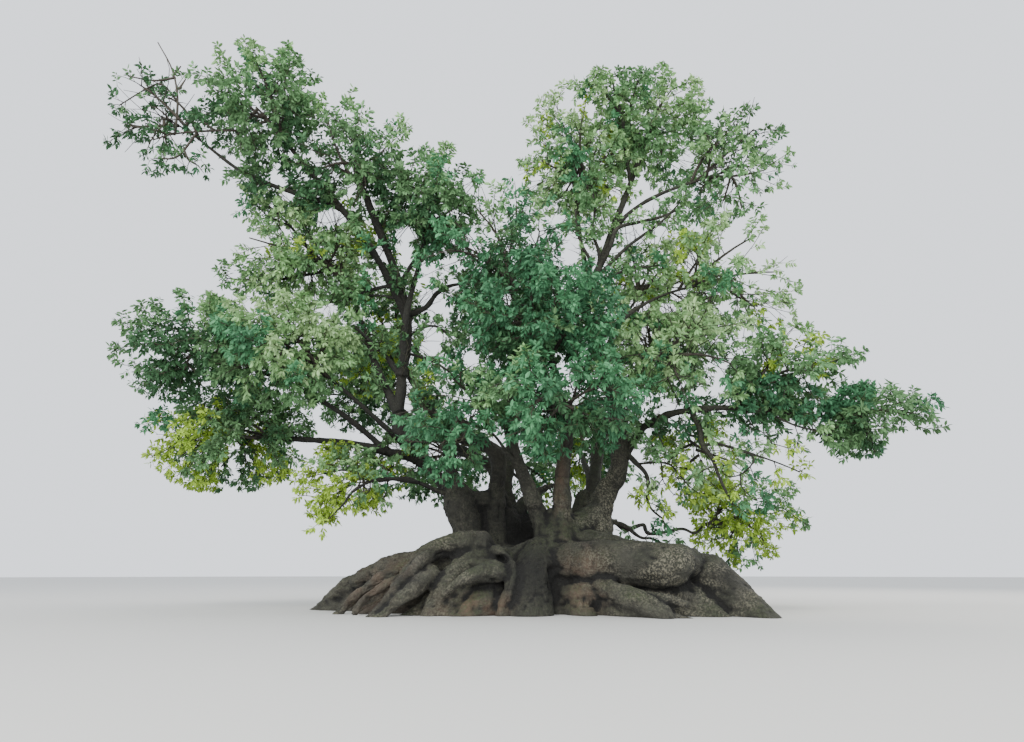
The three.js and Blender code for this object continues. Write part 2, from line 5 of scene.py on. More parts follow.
import bmesh
import bpy
import numpy as np
from bpy.props import FloatProperty, FloatVectorProperty, IntProperty, PointerProperty
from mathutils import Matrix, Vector

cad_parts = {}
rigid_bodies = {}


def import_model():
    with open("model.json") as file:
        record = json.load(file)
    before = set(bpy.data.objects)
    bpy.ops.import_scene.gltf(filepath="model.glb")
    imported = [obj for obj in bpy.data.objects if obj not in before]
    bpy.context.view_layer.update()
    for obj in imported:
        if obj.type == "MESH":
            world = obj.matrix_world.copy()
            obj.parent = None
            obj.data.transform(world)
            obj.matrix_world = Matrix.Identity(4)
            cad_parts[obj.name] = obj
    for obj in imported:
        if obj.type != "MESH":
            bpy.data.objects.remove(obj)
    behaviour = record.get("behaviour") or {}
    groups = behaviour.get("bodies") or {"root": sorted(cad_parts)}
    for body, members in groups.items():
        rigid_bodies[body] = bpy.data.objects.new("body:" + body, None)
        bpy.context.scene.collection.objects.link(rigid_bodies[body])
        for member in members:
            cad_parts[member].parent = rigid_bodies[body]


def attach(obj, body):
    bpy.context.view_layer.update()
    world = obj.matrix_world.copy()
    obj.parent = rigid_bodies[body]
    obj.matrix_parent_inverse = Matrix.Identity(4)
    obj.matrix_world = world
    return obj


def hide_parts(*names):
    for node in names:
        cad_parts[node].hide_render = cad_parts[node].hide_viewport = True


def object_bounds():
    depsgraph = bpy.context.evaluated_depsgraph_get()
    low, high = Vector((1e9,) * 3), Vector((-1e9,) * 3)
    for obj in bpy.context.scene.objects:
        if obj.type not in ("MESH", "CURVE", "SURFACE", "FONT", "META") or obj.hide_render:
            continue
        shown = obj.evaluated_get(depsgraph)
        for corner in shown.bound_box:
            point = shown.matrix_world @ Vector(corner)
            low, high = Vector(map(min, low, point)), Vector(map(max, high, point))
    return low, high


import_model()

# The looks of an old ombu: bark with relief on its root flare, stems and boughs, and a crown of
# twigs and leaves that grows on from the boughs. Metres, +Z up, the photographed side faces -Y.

bl_info = {
    "name": "Ombu tree",
    "version": (1, 0, 0),
    "blender": (4, 5, 0),
    "location": "3D View > Sidebar > Ombu",
    "description": "Bark, twigs, leaves and stage of an old ombu tree",
    "category": "Object",
}

CAD_BOX = [list(corner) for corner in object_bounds()]
UP = np.array([0.0, 0.0, 1.0])
ASIDE = np.array([1.0, 0.0, 0.0])
NO_LENGTH = 1e-9          # the least that a length or a step is divided by
NO_STEP = 1e-6
GOLDEN_ANGLE = math.pi * (3 - math.sqrt(5))

# Seeded chance, the same rule as the solids follow
SHUFFLE_FIRST = 12.9898
SHUFFLE_SECOND = 78.233
SHUFFLE_SCALE = 43758.5453
LATTICE_TURNS = np.array([SHUFFLE_FIRST, SHUFFLE_SECOND, 37.719])
LAYER_SEED = 17.0

# The line of each stem: foot and top
STEMS = {
    "left_stem": ((-1.8, 0.0, 1.2), (-2.65, -0.05, 3.3)),
    "middle_stem": ((-1.5, 0.2, 1.4), (-1.45, 0.1, 3.3)),
    "back_left_stem": ((-0.95, 0.9, 1.3), (-1.2, 1.5, 3.1)),
    "leaning_stem": ((0.1, -0.6, 1.4), (-0.55, -1.0, 3.2)),
    "upright_stem": ((0.38, -0.7, 1.4), (0.38, -1.0, 3.2)),
    "right_stem": ((1.0, 0.1, 1.3), (1.72, 0.1, 3.3)),
    "back_right_stem": ((0.75, 0.9, 1.3), (1.25, 1.7, 3.1)),
}

# Boughs, each with the middle and the half sizes of the mass at its end. A bough leaves its
# parent at a share of the parent's length and passes the via points, or rises in an arch.
BOUGHS = {
    "upper_left_inner": dict(
        parent="middle_stem", share=0.8, girth=0.25, at=(-5.8, -2.2, 12.8), reach=(1.8, 1.6, 1.8),
        via=[(-1.6, -0.1, 4.25), (-3.1, -0.2, 4.9), (-4.3, -0.3, 5.0), (-4.15, -0.4, 6.6),
             (-4.1, -0.4, 8.9)]),
    "upper_left_outer": dict(
        parent="upper_left_inner", share=0.86, girth=0.14, at=(-8.4, -3.0, 13.9),
        reach=(1.8, 1.6, 1.9)),
    "tip_left": dict(
        parent="upper_left_outer", share=0.6, girth=0.09, at=(-11.1, -3.0, 13.6),
        reach=(1.5, 1.2, 1.7), arch=-0.06),
    "upper_left_crest": dict(
        parent="upper_left_inner", share=0.72, girth=0.14, at=(-3.6, -1.2, 11.9),
        reach=(1.7, 1.6, 1.6), arch=-0.05),
    "left_shoulder": dict(
        parent="upper_left_inner", share=0.62, girth=0.13, at=(-7.4, -0.4, 10.7),
        reach=(2.4, 2.0, 2.0)),
    "left_inner": dict(
        parent="left_stem", share=0.82, girth=0.24, at=(-5.3, 1.8, 8.9), reach=(1.8, 1.7, 2.9),
        via=[(-2.95, 0.1, 4.3), (-3.6, 0.8, 5.8)]),
    "left_low": dict(
        parent="left_stem", share=0.72, girth=0.19, at=(-9.8, 1.0, 5.0), reach=(2.4, 2.0, 1.5),
        via=[(-3.6, 0.1, 3.9), (-4.7, 0.2, 4.5), (-6.0, 0.3, 4.85)]),
    "left_far": dict(
        parent="left_low", share=0.62, girth=0.1, at=(-10.4, -0.8, 7.3), reach=(1.9, 1.8, 1.5)),
    "left_mid": dict(
        parent="left_low", share=0.4, girth=0.11, at=(-7.6, -1.5, 7.0), reach=(2.0, 1.8, 1.5)),
    "left_skirt": dict(
        parent="left_stem", share=0.84, girth=0.1, at=(-5.7, 0.1, 3.5), reach=(1.5, 1.4, 1.1),
        via=[(-3.6, -0.4, 3.45), (-4.6, -0.5, 3.4)]),
    "centre_top": dict(
        parent="leaning_stem", share=0.8, girth=0.21, at=(-1.5, -1.4, 10.0), reach=(2.3, 1.8, 2.2),
        via=[(-0.95, -1.2, 5.0), (-1.0, -1.3, 8.0)]),
    "centre_left_low": dict(
        parent="centre_top", share=0.22, girth=0.08, at=(-2.5, -2.5, 4.9), reach=(1.4, 1.4, 1.6)),
    "centre_mid": dict(
        parent="upright_stem", share=0.8, girth=0.23, at=(-0.1, -3.0, 7.5), reach=(2.1, 1.7, 1.5),
        via=[(0.38, -1.1, 4.3), (0.3, -1.6, 5.6)]),
    "centre_low": dict(
        parent="centre_mid", share=0.4, girth=0.1, at=(0.2, -3.8, 5.0), reach=(1.9, 1.5, 1.3)),
    "right_crest": dict(
        parent="right_stem", share=0.75, girth=0.31, at=(3.7, 0.2, 15.5), reach=(1.9, 1.8, 2.0),
        via=[(1.95, 0.0, 4.2), (2.1, 0.1, 6.5), (1.72, 0.0, 8.5), (1.69, 0.0, 9.6)]),
    "right_crest_left": dict(
        parent="right_crest", share=0.8, girth=0.13, at=(1.3, 0.3, 14.3), reach=(2.0, 1.8, 2.6)),
    "right_crown": dict(
        parent="right_crest", share=0.72, girth=0.18, at=(6.0, -0.8, 13.3), reach=(1.6, 1.7, 2.2),
        via=[(2.9, -0.2, 12.0)]),
    "right_shoulder": dict(
        parent="right_crest", share=0.56, girth=0.14, at=(5.7, -0.8, 9.5), reach=(2.0, 1.8, 1.9)),
    "right_inner": dict(
        parent="right_crest", share=0.5, girth=0.14, at=(3.9, 2.2, 10.8), reach=(2.2, 1.8, 2.4)),
    "right_mid": dict(
        parent="right_crest", share=0.42, girth=0.12, at=(3.5, -2.4, 6.6), reach=(2.0, 1.6, 1.5)),
    "right_arm": dict(
        parent="right_crest", share=0.2, girth=0.17, at=(8.4, -2.2, 4.8), reach=(1.7, 1.4, 0.9),
        via=[(2.7, -0.6, 5.1), (3.8, -1.3, 5.45), (5.05, -1.9, 5.3), (6.1, -2.1, 5.05)]),
    "right_outer": dict(
        parent="right_arm", share=0.66, girth=0.08, at=(6.8, -1.8, 6.2), reach=(1.7, 1.7, 1.2)),
    "right_low": dict(
        parent="right_arm", share=0.3, girth=0.08, at=(4.8, 1.0, 4.2), reach=(1.7, 1.5, 1.2)),
    "right_skirt": dict(
        parent="right_stem", share=0.5, girth=0.16, at=(6.6, 3.0, 2.7), reach=(1.8, 1.6, 1.5),
        via=[(2.2, 1.0, 2.35), (3.2, 1.6, 2.15), (4.4, 2.3, 2.3)]),
    "back_centre": dict(
        parent="back_left_stem", share=0.8, girth=0.24, at=(-0.8, 5.0, 10.5),
        reach=(2.3, 2.2, 2.0), via=[(-1.15, 2.0, 4.6), (-1.1, 2.6, 7.0)]),
    "back_left": dict(
        parent="back_left_stem", share=0.6, girth=0.2, at=(-6.5, 5.0, 8.0), reach=(2.4, 2.2, 1.9),
        via=[(-1.9, 2.3, 4.3), (-3.7, 3.6, 5.8)]),
    "back_left_low": dict(
        parent="back_left", share=0.35, girth=0.14, at=(-4.0, 6.5, 5.2), reach=(2.3, 2.0, 1.6)),
    "back_right": dict(
        parent="back_right_stem", share=0.75, girth=0.27, at=(5.0, 4.8, 9.5),
        reach=(2.3, 2.2, 2.0), via=[(1.8, 2.4, 4.5), (2.9, 3.4, 6.6)]),
    "back_low": dict(
        parent="back_right", share=0.25, girth=0.14, at=(1.6, 6.8, 5.6), reach=(2.3, 2.0, 1.8)),
}
BOX_ROOM = 0.02           # share of the CAD box's sides that growth may stand past it
BOUGH_TIP = 0.45          # a bough's radius where it enters its mass, over its girth
STEM_TIP = 0.45           # radius at the end of a mass's stem, over the bough's end
ARCH = 0.1                # rise of a bough that has no via points, over its length
CROOK = 0.03              # how far a line swings to the side, over its length
CROOK_TURNS = np.array([5.1, 6.7, 4.3])   # how fast it swings along each axis
TENSION = 0.5
FULLNESS = 1.12           # how far a mass swells past its half sizes
CELL_MARGIN = 0.01        # gap between a mass and its flat walls
SEARCH_STEPS = 400        # steps along a line where a place on it is looked for
LENGTH_STEPS = 60         # points along a line where its length is measured
ROUND_LIFTS = (75, 50, 25)   # degrees of the rings that round off the end of a tube
STEEP_PATH = 0.8          # a path or way that climbs more than this is turned from X, not from up
STEEP_WAY = 0.9
OPEN_ROOM = 9.0           # how far growth outside the masses may run

# Core of the root flare: half width, half depth and height of the dome, a little inside the solid
DOME = (2.95, 2.05, 1.85)
DOME_SIDES = 48
DOME_LIFTS = (-60, 85, 14)   # degrees of the lowest and highest ring, and number of rings
# Each root: bearing and bend in degrees, where it starts and ends, height of its crest, how late
# the crest falls, and its half width at its start and foot
ROOTS = [
    (190, -13, 1.0, 6.6, 2.2, 2.1, 0.6, 0.3),
    (201, -2, 1.2, 5.3, 1.75, 1.7, 0.55, 0.25),
    (222, -9, 1.2, 4.4, 1.8, 1.7, 0.55, 0.28),
    (240, -12, 1.2, 3.7, 1.35, 2.6, 0.5, 0.32),
    (250, 8, 0.8, 2.9, 1.95, 2.6, 0.7, 0.5),
    (284, 4, 1.2, 2.9, 1.0, 2.2, 0.42, 0.3),
    (297, 14, 1.4, 4.7, 1.2, 1.5, 0.4, 0.16),
    (321, 3, 1.0, 5.0, 1.7, 3.2, 0.75, 0.42),
    (337, -12, 0.6, 6.1, 1.95, 3.8, 0.85, 0.34),
]
# The fan of roots round the back: count, first and last bearing, then the values that follow the
# bend, and how far bearing, reach and crest stray
BACK_ROOTS = (6, 16, 152)
BACK_ROOT = (1.0, 4.7, 1.95, 1.25, 0.62, 0.18)
BACK_ROOT_STRAY = (9, 0.8, 0.2)
FRONT_CORE = 0.8          # the front roots' cores stay inside the forms below
# Low ridges that run between the back roots: count, first and last bearing, how far the bearing
# and the bend stray and where a ridge starts, then the least and the added chance size of its
# reach, crest, fall, girth and foot
BACK_RIDGES = (17, -14, 176)
RIDGE_STRAY = 0.9
RIDGE_BEND = 50
RIDGE_START = 0.9
RIDGE_SIZES = [(3.3, 1.5), (1.45, 0.5), (1.3, 0.8), (0.35, 0.3), (0.12, 0.12)]
BACK_WAVES = 0.12         # waves on the crests of the back roots
CREST_TURNS = 8           # how often a crest waves, and how a root swells along its length
SWELL_TURNS = 9
SWELL = 0.1
ROOT_STEPS = 24
FLARE = 1.6               # how early a root's half width narrows to its foot

# Forms that show on the front of the root flare and in the stems: points with a radius
FORMS = {
    "log": [(-1.8, -1.3, 1.72, 0.37), (-2.4, -1.6, 1.68, 0.35), (-3.2, -1.9, 1.4, 0.28),
            (-3.75, -2.3, 0.8, 0.18), (-4.05, -2.6, 0.2, 0.14)],
    "far_left_ridge": [(-3.25, -0.5, 1.3, 0.38), (-4.2, -0.6, 1.18, 0.34), (-4.95, -0.5, 0.9, 0.3),
                       (-5.85, -0.2, 0.43, 0.23), (-6.45, 0.2, -0.05, 0.14)],
    "left_middle_ridge": [(-3.4, -1.2, 1.3, 0.21), (-4.25, -1.6, 0.9, 0.2), (-5.0, -1.8, 0.35, 0.18),
                          (-5.35, -1.9, 0.0, 0.12)],
    "left_low_ridge": [(-3.7, -1.9, 0.95, 0.15), (-4.45, -2.2, 0.5, 0.16), (-4.8, -2.3, 0.1, 0.12)],
    "upper_finger": [(-2.8, -1.9, 1.45, 0.15), (-3.2, -2.3, 1.3, 0.17), (-3.55, -2.55, 0.95, 0.16),
                     (-3.95, -2.8, 0.45, 0.15), (-4.3, -3.0, 0.0, 0.12)],
    "lower_finger": [(-2.95, -2.3, 0.95, 0.24), (-3.3, -2.65, 0.66, 0.21), (-3.8, -2.95, 0.25, 0.16),
                     (-4.1, -3.1, 0.0, 0.12)],
    "slab": [(-1.6, -1.2, 1.45, 0.36), (-2.3, -1.95, 1.0, 0.42), (-2.75, -2.4, 0.33, 0.34),
             (-2.95, -2.6, 0.0, 0.24)],
    "slab_low": [(-1.2, -1.2, 1.3, 0.4), (-1.95, -1.85, 0.85, 0.46), (-2.4, -2.3, 0.25, 0.38),
                 (-2.6, -2.45, 0.0, 0.3)],
    "lip": [(-1.2, -2.0, 1.0, 0.22), (-1.4, -2.5, 1.03, 0.31), (-1.85, -2.72, 0.93, 0.22),
            (-2.3, -2.85, 0.76, 0.13), (-2.6, -2.9, 0.5, 0.1)],
    "under_lip": [(-1.25, -2.3, 0.27, 0.28), (-1.7, -2.5, 0.28, 0.29), (-2.2, -2.6, 0.12, 0.22)],
    "strap": [(-1.4, -1.7, 1.55, 0.18), (-1.22, -2.05, 1.45, 0.15), (-0.98, -2.32, 1.12, 0.16),
              (-1.0, -2.5, 0.8, 0.16), (-1.15, -2.65, 0.4, 0.16), (-1.25, -2.7, 0.0, 0.16)],
    "column": [(0.2, -0.9, 1.65, 0.5), (-0.2, -1.3, 1.35, 0.6), (-0.48, -1.9, 0.9, 0.55),
               (-0.58, -2.4, 0.0, 0.6)],
    "left_shoulder": [(0.0, -0.7, 1.65, 0.46), (-0.6, -1.0, 1.35, 0.46), (-1.2, -1.45, 1.1, 0.4)],
    "right_shoulder": [(0.3, -0.7, 1.65, 0.55), (1.0, -1.0, 1.5, 0.62), (1.7, -1.4, 1.35, 0.58)],
    "barrel": [(0.15, -1.35, 1.3, 0.52), (1.0, -1.8, 1.2, 0.6), (2.0, -2.1, 1.2, 0.6),
               (2.75, -2.55, 1.16, 0.55)],
    "barrel_back": [(2.1, -1.6, 1.3, 0.5), (3.3, -1.7, 1.25, 0.48)],
    "cave_lump": [(0.35, -1.85, 0.4, 0.28), (0.7, -2.15, 0.46, 0.35), (1.05, -2.15, 0.36, 0.32)],
    "cave_wall": [(-0.1, -1.3, 0.5, 0.5), (0.7, -1.3, 0.6, 0.55), (1.8, -1.6, 0.6, 0.55)],
    "arm": [(1.2, -2.3, 0.66, 0.26), (1.5, -2.75, 0.52, 0.3), (2.05, -3.25, 0.32, 0.29),
            (2.45, -3.6, 0.1, 0.22)],
    "arm_knob": [(2.2, -3.0, 0.45, 0.18), (2.6, -3.25, 0.38, 0.19), (2.95, -3.3, 0.3, 0.15)],
    "knee": [(2.4, -2.35, 1.05, 0.45), (2.85, -2.72, 1.14, 0.53), (3.4, -2.2, 1.26, 0.36)],
    "leg": [(3.55, -1.6, 1.04, 0.51), (3.95, -2.0, 0.81, 0.62), (4.5, -2.4, 0.42, 0.44),
            (5.1, -2.8, 0.05, 0.14)],
    "left_vase": [(-2.1, -0.1, 1.6, 0.46), (-2.25, 0.0, 2.3, 0.5), (-2.5, 0.0, 2.95, 0.52),
                  (-2.8, 0.0, 3.5, 0.3)],
    "left_web": [(-2.5, 0.0, 2.85, 0.4), (-2.0, 0.05, 2.95, 0.32), (-1.5, 0.15, 3.05, 0.28)],
    "middle_stem": [(-1.45, 0.0, 1.6, 0.36), (-1.5, 0.1, 2.85, 0.29), (-1.5, 0.1, 3.5, 0.2)],
    "dark_stem": [(-1.2, 0.4, 1.6, 0.42), (-1.12, 0.5, 2.3, 0.42), (-1.3, 0.5, 3.0, 0.24),
                  (-1.5, 0.3, 3.6, 0.16)],
    "dark_branch": [(-1.05, 0.7, 2.3, 0.34), (-0.75, 1.0, 2.85, 0.24), (-0.2, 1.3, 3.35, 0.16),
                    (0.3, 1.5, 3.6, 0.1)],
    "cave_back": [(-0.9, 1.1, 1.8, 0.6), (-0.3, 1.1, 2.1, 0.62), (0.4, 1.0, 1.9, 0.55)],
    "back_left_stem": [(-0.95, 0.9, 1.3, 0.6), (-1.1, 1.2, 2.2, 0.46), (-1.2, 1.6, 3.2, 0.3)],
    "leaning_stem": [(-0.1, -1.25, 1.35, 0.45), (-0.1, -0.95, 1.95, 0.36), (-0.28, -0.8, 2.5, 0.27),
                     (-0.65, -1.0, 3.35, 0.19)],
    "front_web": [(0.1, -1.15, 1.7, 0.4), (0.1, -0.95, 2.15, 0.3), (0.1, -0.85, 2.5, 0.2)],
    "upright_stem": [(0.35, -1.25, 1.45, 0.48), (0.36, -1.0, 2.0, 0.37), (0.36, -0.92, 2.5, 0.29),
                     (0.38, -1.02, 3.35, 0.22)],
    "right_web": [(0.5, -0.95, 1.95, 0.4), (0.9, -0.6, 2.25, 0.38), (1.3, -0.25, 2.5, 0.38)],
    "right_stem": [(1.15, -0.75, 1.45, 0.55), (1.35, -0.3, 2.05, 0.48), (1.45, -0.05, 2.6, 0.41),
                   (1.78, 0.05, 3.4, 0.31)],
    "apron": [(-2.6, 1.5, 0.0, 0.7), (-1.4, 2.3, 0.05, 0.75), (0.2, 2.6, 0.05, 0.8),
              (1.6, 2.2, 0.05, 0.75), (2.7, 1.2, 0.0, 0.7)],
    "back_right_stem": [(0.75, 0.9, 1.3, 0.55), (1.0, 1.3, 2.2, 0.42), (1.25, 1.7, 3.2, 0.3)],
}
FORM_STEPS = 8            # steps from one point of a form to the next
FORM_SIDES = 20
# The part of a bough that is fused into the flare: length, largest share of the bough, steps,
# and its width at both ends over the bough's own
BOUGH_FOOT = (1.5, 0.5, 14, (1.3, 0.75))
SMOOTHING = (0.5, 3)      # strength and rounds of the smoothing after the forms are fused
FLARE_TRIANGLES = 194000

# Layers of the flare's relief: scale, seed and depth in metres. Folds and grooves are laid out by
# bearing, distance and height, so that they run out along the roots.
LUMPS = (1.6, 3.0, 0.11)
FOLDS = (np.array([9, 0.9, 1.4]), 11.0, 0.05)
STEM_FOLDS = (np.array([5.5, 5.5, 0.9]), 29.0)   # as deep as the folds
GROOVES = (np.array([21, 1.1, 2.5]), 15.0, 0.05)
WRINKLES = (np.array([2.4, 2.4, 7.0]), 5.0, 0.025)
PITS = (8, 7.0, 0.045)
GRAIN = (21, 9.0, 0.035)
BROAD_CREASES = 3         # powers that make a crease broad and narrow
NARROW_CREASES = 5
STEM_RISE = (1.7, 0.6)    # where the stems' relief sets in and over what height
STEM_CALM = (0.6, 0.4)    # how much weaker lumps and folds are on the stems
SMOOTH_ROOT = ((1.8, -2.0, 1.3), (1.6, 0.9, 0.6))   # the long root that has few folds
SMOOTH_ROOT_CALM = 0.8
GROOVED_SIDE = (-3.3, 0.8)   # grooves set in left of this, over what width
GROUND_HOLD = 0.15        # the relief fades out over this height above the ground
LOWEST = 0.002
GROUND_TOUCH = 1e-4
# Rounds of evening out for the near and far mean of the skin and for the dip between them, and
# the depth of a dip, a valley and a hollow that gives full shade
EVEN_ROUNDS = (4, 20, 2)
SHADE_DEPTHS = (0.018, 0.06, 0.12)

# Hollows pressed into the flare: middle, radius and depth
HOLLOWS = [
    ((-1.6, -1.15, 1.75), 0.16, 0.3),
    ((-1.2, -2.2, 1.28), 0.13, 0.4),
    ((-1.4, -2.75, 0.66), 0.1, 0.22),
    ((-1.75, -2.85, 0.62), 0.1, 0.22),
    ((-2.1, -2.85, 0.55), 0.1, 0.15),
    ((0.05, -2.1, 1.0), 0.13, 0.35),
    ((0.08, -2.3, 0.65), 0.13, 0.42),
    ((-0.5, 0.0, 2.0), 0.35, 0.3),
    ((-2.75, -2.1, 1.38), 0.12, 0.25),
    ((3.3, -2.75, 0.7), 0.12, 0.12),
]

# Coats on the bark, and its painted shade. Patches: scale, layers and seed of the noise, contrast and
# threshold
MOSS_PATCHES = (1.1, 3, 41.0, 2.4, 0.7)
LICHEN_PATCHES = (2.2, 3, 13.0, 3.2, 1.0)
RUST_PATCHES = (3.4, 4, 61.0, 3, 0.9)
MOSS = (0.8, 0.35)        # strength, and how far round from the top it reaches
# Lichen on the crests is partly wear and partly a painted highlight
LICHEN = (0.2, 0.3, 0.1)  # everywhere, on worn crests, and how worn a crest has to be
DEEPEST_SHADE = 1.2
BOUGH_SHADE = (0.25, 0.25)   # on a whole bough, and more on its underside
BRANCH_SHADE = 0.3
# The boughs' darker left side: strength, where it sets in and over what width, the height where
# it ends and over what height
LEFT_DARKENING = (0.5, -1.2, 1.5, 13, 3)
# Where painted shade, lichen and rust lie: middle, radius along each axis and strength. The shade spots are
# painted shade in caves, hollows and creases and under overhangs
SHADE_SPOTS = [
    ((-2.1, -0.1, 2.5), (0.9, 0.9, 1.0), 0.6),
    ((-0.5, -2.2, 0.8), (0.65, 1.0, 1.2), 1.0),
    ((4.2, -2.3, 0.8), (0.9, 0.9, 0.8), 0.3),
    ((0.7, -2.0, 1.4), (0.7, 0.7, 0.35), 0.3),
    ((2.6, -2.5, 1.2), (1.0, 0.9, 0.5), 0.2),
    ((-0.1, -1.0, 2.4), (0.3, 0.5, 0.45), 0.45),
    ((-1.0, 0.6, 2.3), (0.9, 0.9, 1.2), 0.75),
    ((0.6, -1.5, 0.55), (0.6, 0.4, 0.4), 0.7),
    ((-1.7, -2.6, 0.64), (0.6, 0.4, 0.09), 1.0),
    ((-1.2, -2.2, 1.3), (0.15, 0.25, 0.13), 1.2),
    ((-0.85, -2.6, 0.4), (0.1, 0.3, 0.6), 0.6),
    ((0.06, -2.1, 0.8), (0.11, 0.5, 0.45), 1.0),
    ((0.8, -2.0, 0.82), (0.5, 0.45, 0.1), 0.8),
    ((1.25, -2.3, 0.35), (0.12, 0.4, 0.35), 0.7),
    ((2.6, -2.9, 0.62), (0.6, 0.3, 0.1), 0.9),
    ((3.35, -2.6, 0.95), (0.1, 0.4, 0.4), 0.7),
    ((-2.75, -2.1, 1.38), (0.28, 0.4, 0.13), 1.0),
    ((-3.6, -2.6, 0.8), (0.28, 0.3, 0.12), 0.9),
    ((-0.5, 0.1, 2.1), (0.5, 0.6, 0.5), 1.0),
    ((-1.55, -1.4, 1.72), (0.14, 0.3, 0.25), 0.9),
]
# Lichen spots; those on the stems also paint light on them
LICHEN_AND_LIGHT_SPOTS = [
    ((2.8, -2.9, 1.15), (0.75, 0.8, 0.7), 1.3),
    ((4.3, -2.4, 0.9), (1.2, 1.2, 1.0), 0.9),
    ((-1.6, -2.8, 1.05), (0.5, 0.5, 0.35), 1.2),
    ((-2.5, -1.8, 1.95), (1.1, 0.9, 0.5), 0.6),
    ((1.7, -0.3, 2.9), (0.45, 0.6, 1.3), 1.2),
    ((1.55, -0.5, 2.4), (0.45, 0.7, 0.6), 1.0),
    ((0.5, -1.2, 2.3), (0.6, 0.6, 0.5), 0.4),
    ((1.2, -2.2, 1.3), (0.9, 0.7, 0.6), 0.5),
]
RUST_SPOTS = [
    ((0.75, -2.2, 1.2), (0.5, 0.6, 0.4), 1.0),
    ((0.3, -1.2, 3.4), (0.2, 0.8, 1.6), 1.0),
    ((-1.6, -2.8, 0.25), (0.6, 0.5, 0.3), 1.1),
    ((-4.4, -1.6, 0.8), (1.2, 1.2, 0.9), 0.7),
    ((0.75, -2.5, 0.4), (0.5, 0.45, 0.4), 1.0),
    ((-2.3, -2.6, 0.2), (0.8, 0.5, 0.3), 0.6),
]

# Relief of the boughs. Width over the girth: where a bough leaves a stem, by the metres past its
# foot, and the collar where it leaves another bough, with its length over the girth
STEM_FOOT = ([0, 0.6, 1.5], [0.85, 0.95, 1.05])
COLLAR = (0.5, 1.6)
RIPPLE = (0.08, 5.0)      # swelling along a bough and how often, and the same by noise
KNOTS = (0.1, 2.2, 3.0)
BOUGH_GRAIN = (np.array([7.0, 7.0, 2.5]), 21.0, 0.3)
BOUGH_FURROWS = (np.array([5.0, 5.0, 1.6]), 33.0, 0.1)
WANDER = (1.7, 71.0, 0.6)   # scale and seed of a bough's wandering, and the metres it sets in over
GNARLED_START = 0.8       # metres over which a gnarled bough gets thinner
SLIM_START = 0.08         # share of its length over which a slim bough does
FEWEST_STEPS = (12, 8)    # of a bough and of a branch
BRANCH_KNOTS = (0.8, 0.4, 4.5, 3.0)   # least width, added width, scale and seed of its noise

# Growth of a mass: limbs from its stem, twigs from the limbs, shoots from the twigs, leaves.
# Stray: the least and largest share of a size that chance gives. Places: the share of the parent
# where growth starts, the share it covers, and how far into its own part each one stands. Pull of
# a twig: along its limb, to its side, outwards, up and by chance; of a shoot the same without
# outwards; of a spray along its bough and by chance. Face of a leaf: up, out and by chance.
LIMBS = 9                 # in a mass whose mean reach is LIMB_ROOM; more or fewer by its square
LIMB_ROOM = 2.0
TWIGS = 9
SHOOTS = 11
LEAVES = 10
LIMB = dict(reach=0.62, rise=0.1, deepest=0.15, foot=0.055, tip=0.022, sway=0.1, stray=(0.85, 1.1),
            steps=6, sides=5)
TWIG = dict(length=0.85, foot=0.018, tip=0.008, rise=0.05, sway=0.12, stray=(0.6, 1.1), steps=3,
            sides=3, places=(0.2, 0.8, 0.6), pull=(0.5, 0.9, 0.55, 0.12, 0.25))
SHOOT = dict(length=0.34, foot=0.008, least=0.05, stray=(0.5, 1.15), places=(0.12, 0.88, 0.8),
             pull=(0.7, 0.8, 0.1, 0.2))
LEAF = dict(places=(0.3, 0.7), lean=(0.25, 0.5), droop=(0.1, 1.0), stray=(0.7, 1.25),
            face=(0.6, 0.9, 0.35))
SPRAY = dict(pull=(0.5, 0.25), stray=(0.5, 1.1), sway=0.12, step=0.01)
BLADE = ((0.32, 0.92), (0.68, 0.8))   # shares of a leaf's length, and of its half width there
POINT = 0.02              # how far the closing point of a twig stands past it
SHOOT_CORNERS = (90, 210, 330)   # degrees round a shoot's foot
FULL_TURN = 6.28
WALL = 0.95               # share of the room that a limb, twig or shoot may fill
LEAF_OVERLAP = 0.12       # how far leaves may stand past their mass's space

# Share of the shoots that a mass keeps, less where the photo shows it thin
KEPT = 0.82
THIN = {
    "tip_left": 0.07, "left_skirt": 0.65, "right_low": 0.3, "right_crown": 0.44, "right_crest": 0.68,
    "right_crest_left": 0.64, "right_inner": 0.4, "left_shoulder": 0.68, "left_inner": 0.52,
    "right_shoulder": 0.46, "upper_left_inner": 0.54, "right_mid": 0.36, "centre_top": 0.46,
    "left_low": 1.12, "left_far": 1.05, "left_mid": 0.98, "centre_mid": 0.98, "right_skirt": 0.72,
    "upper_left_outer": 0.82, "right_arm": 0.74,
}
# Masses that the light shines through, in yellow green
SUNLIT = {"left_low": 0.42, "left_skirt": 0.75, "right_skirt": 0.7, "right_low": 0.5,
          "back_low": 0.1, "back_left_low": 0.1, "left_shoulder": 0.12, "left_inner": 0.3,
          "right_inner": 0.2, "right_outer": 0.04, "right_shoulder": 0.1, "right_crest_left": 0.1,
          "reach": 0.5, "loop": 0.5, "hook": 0.6, "sweep": 0.6, "tail": 0.5, "string": 0.5,
          "drip": 0.4, "twist": 0.5, "left_hook": 0.6, "between": 0.2, "between_low": 0.2}
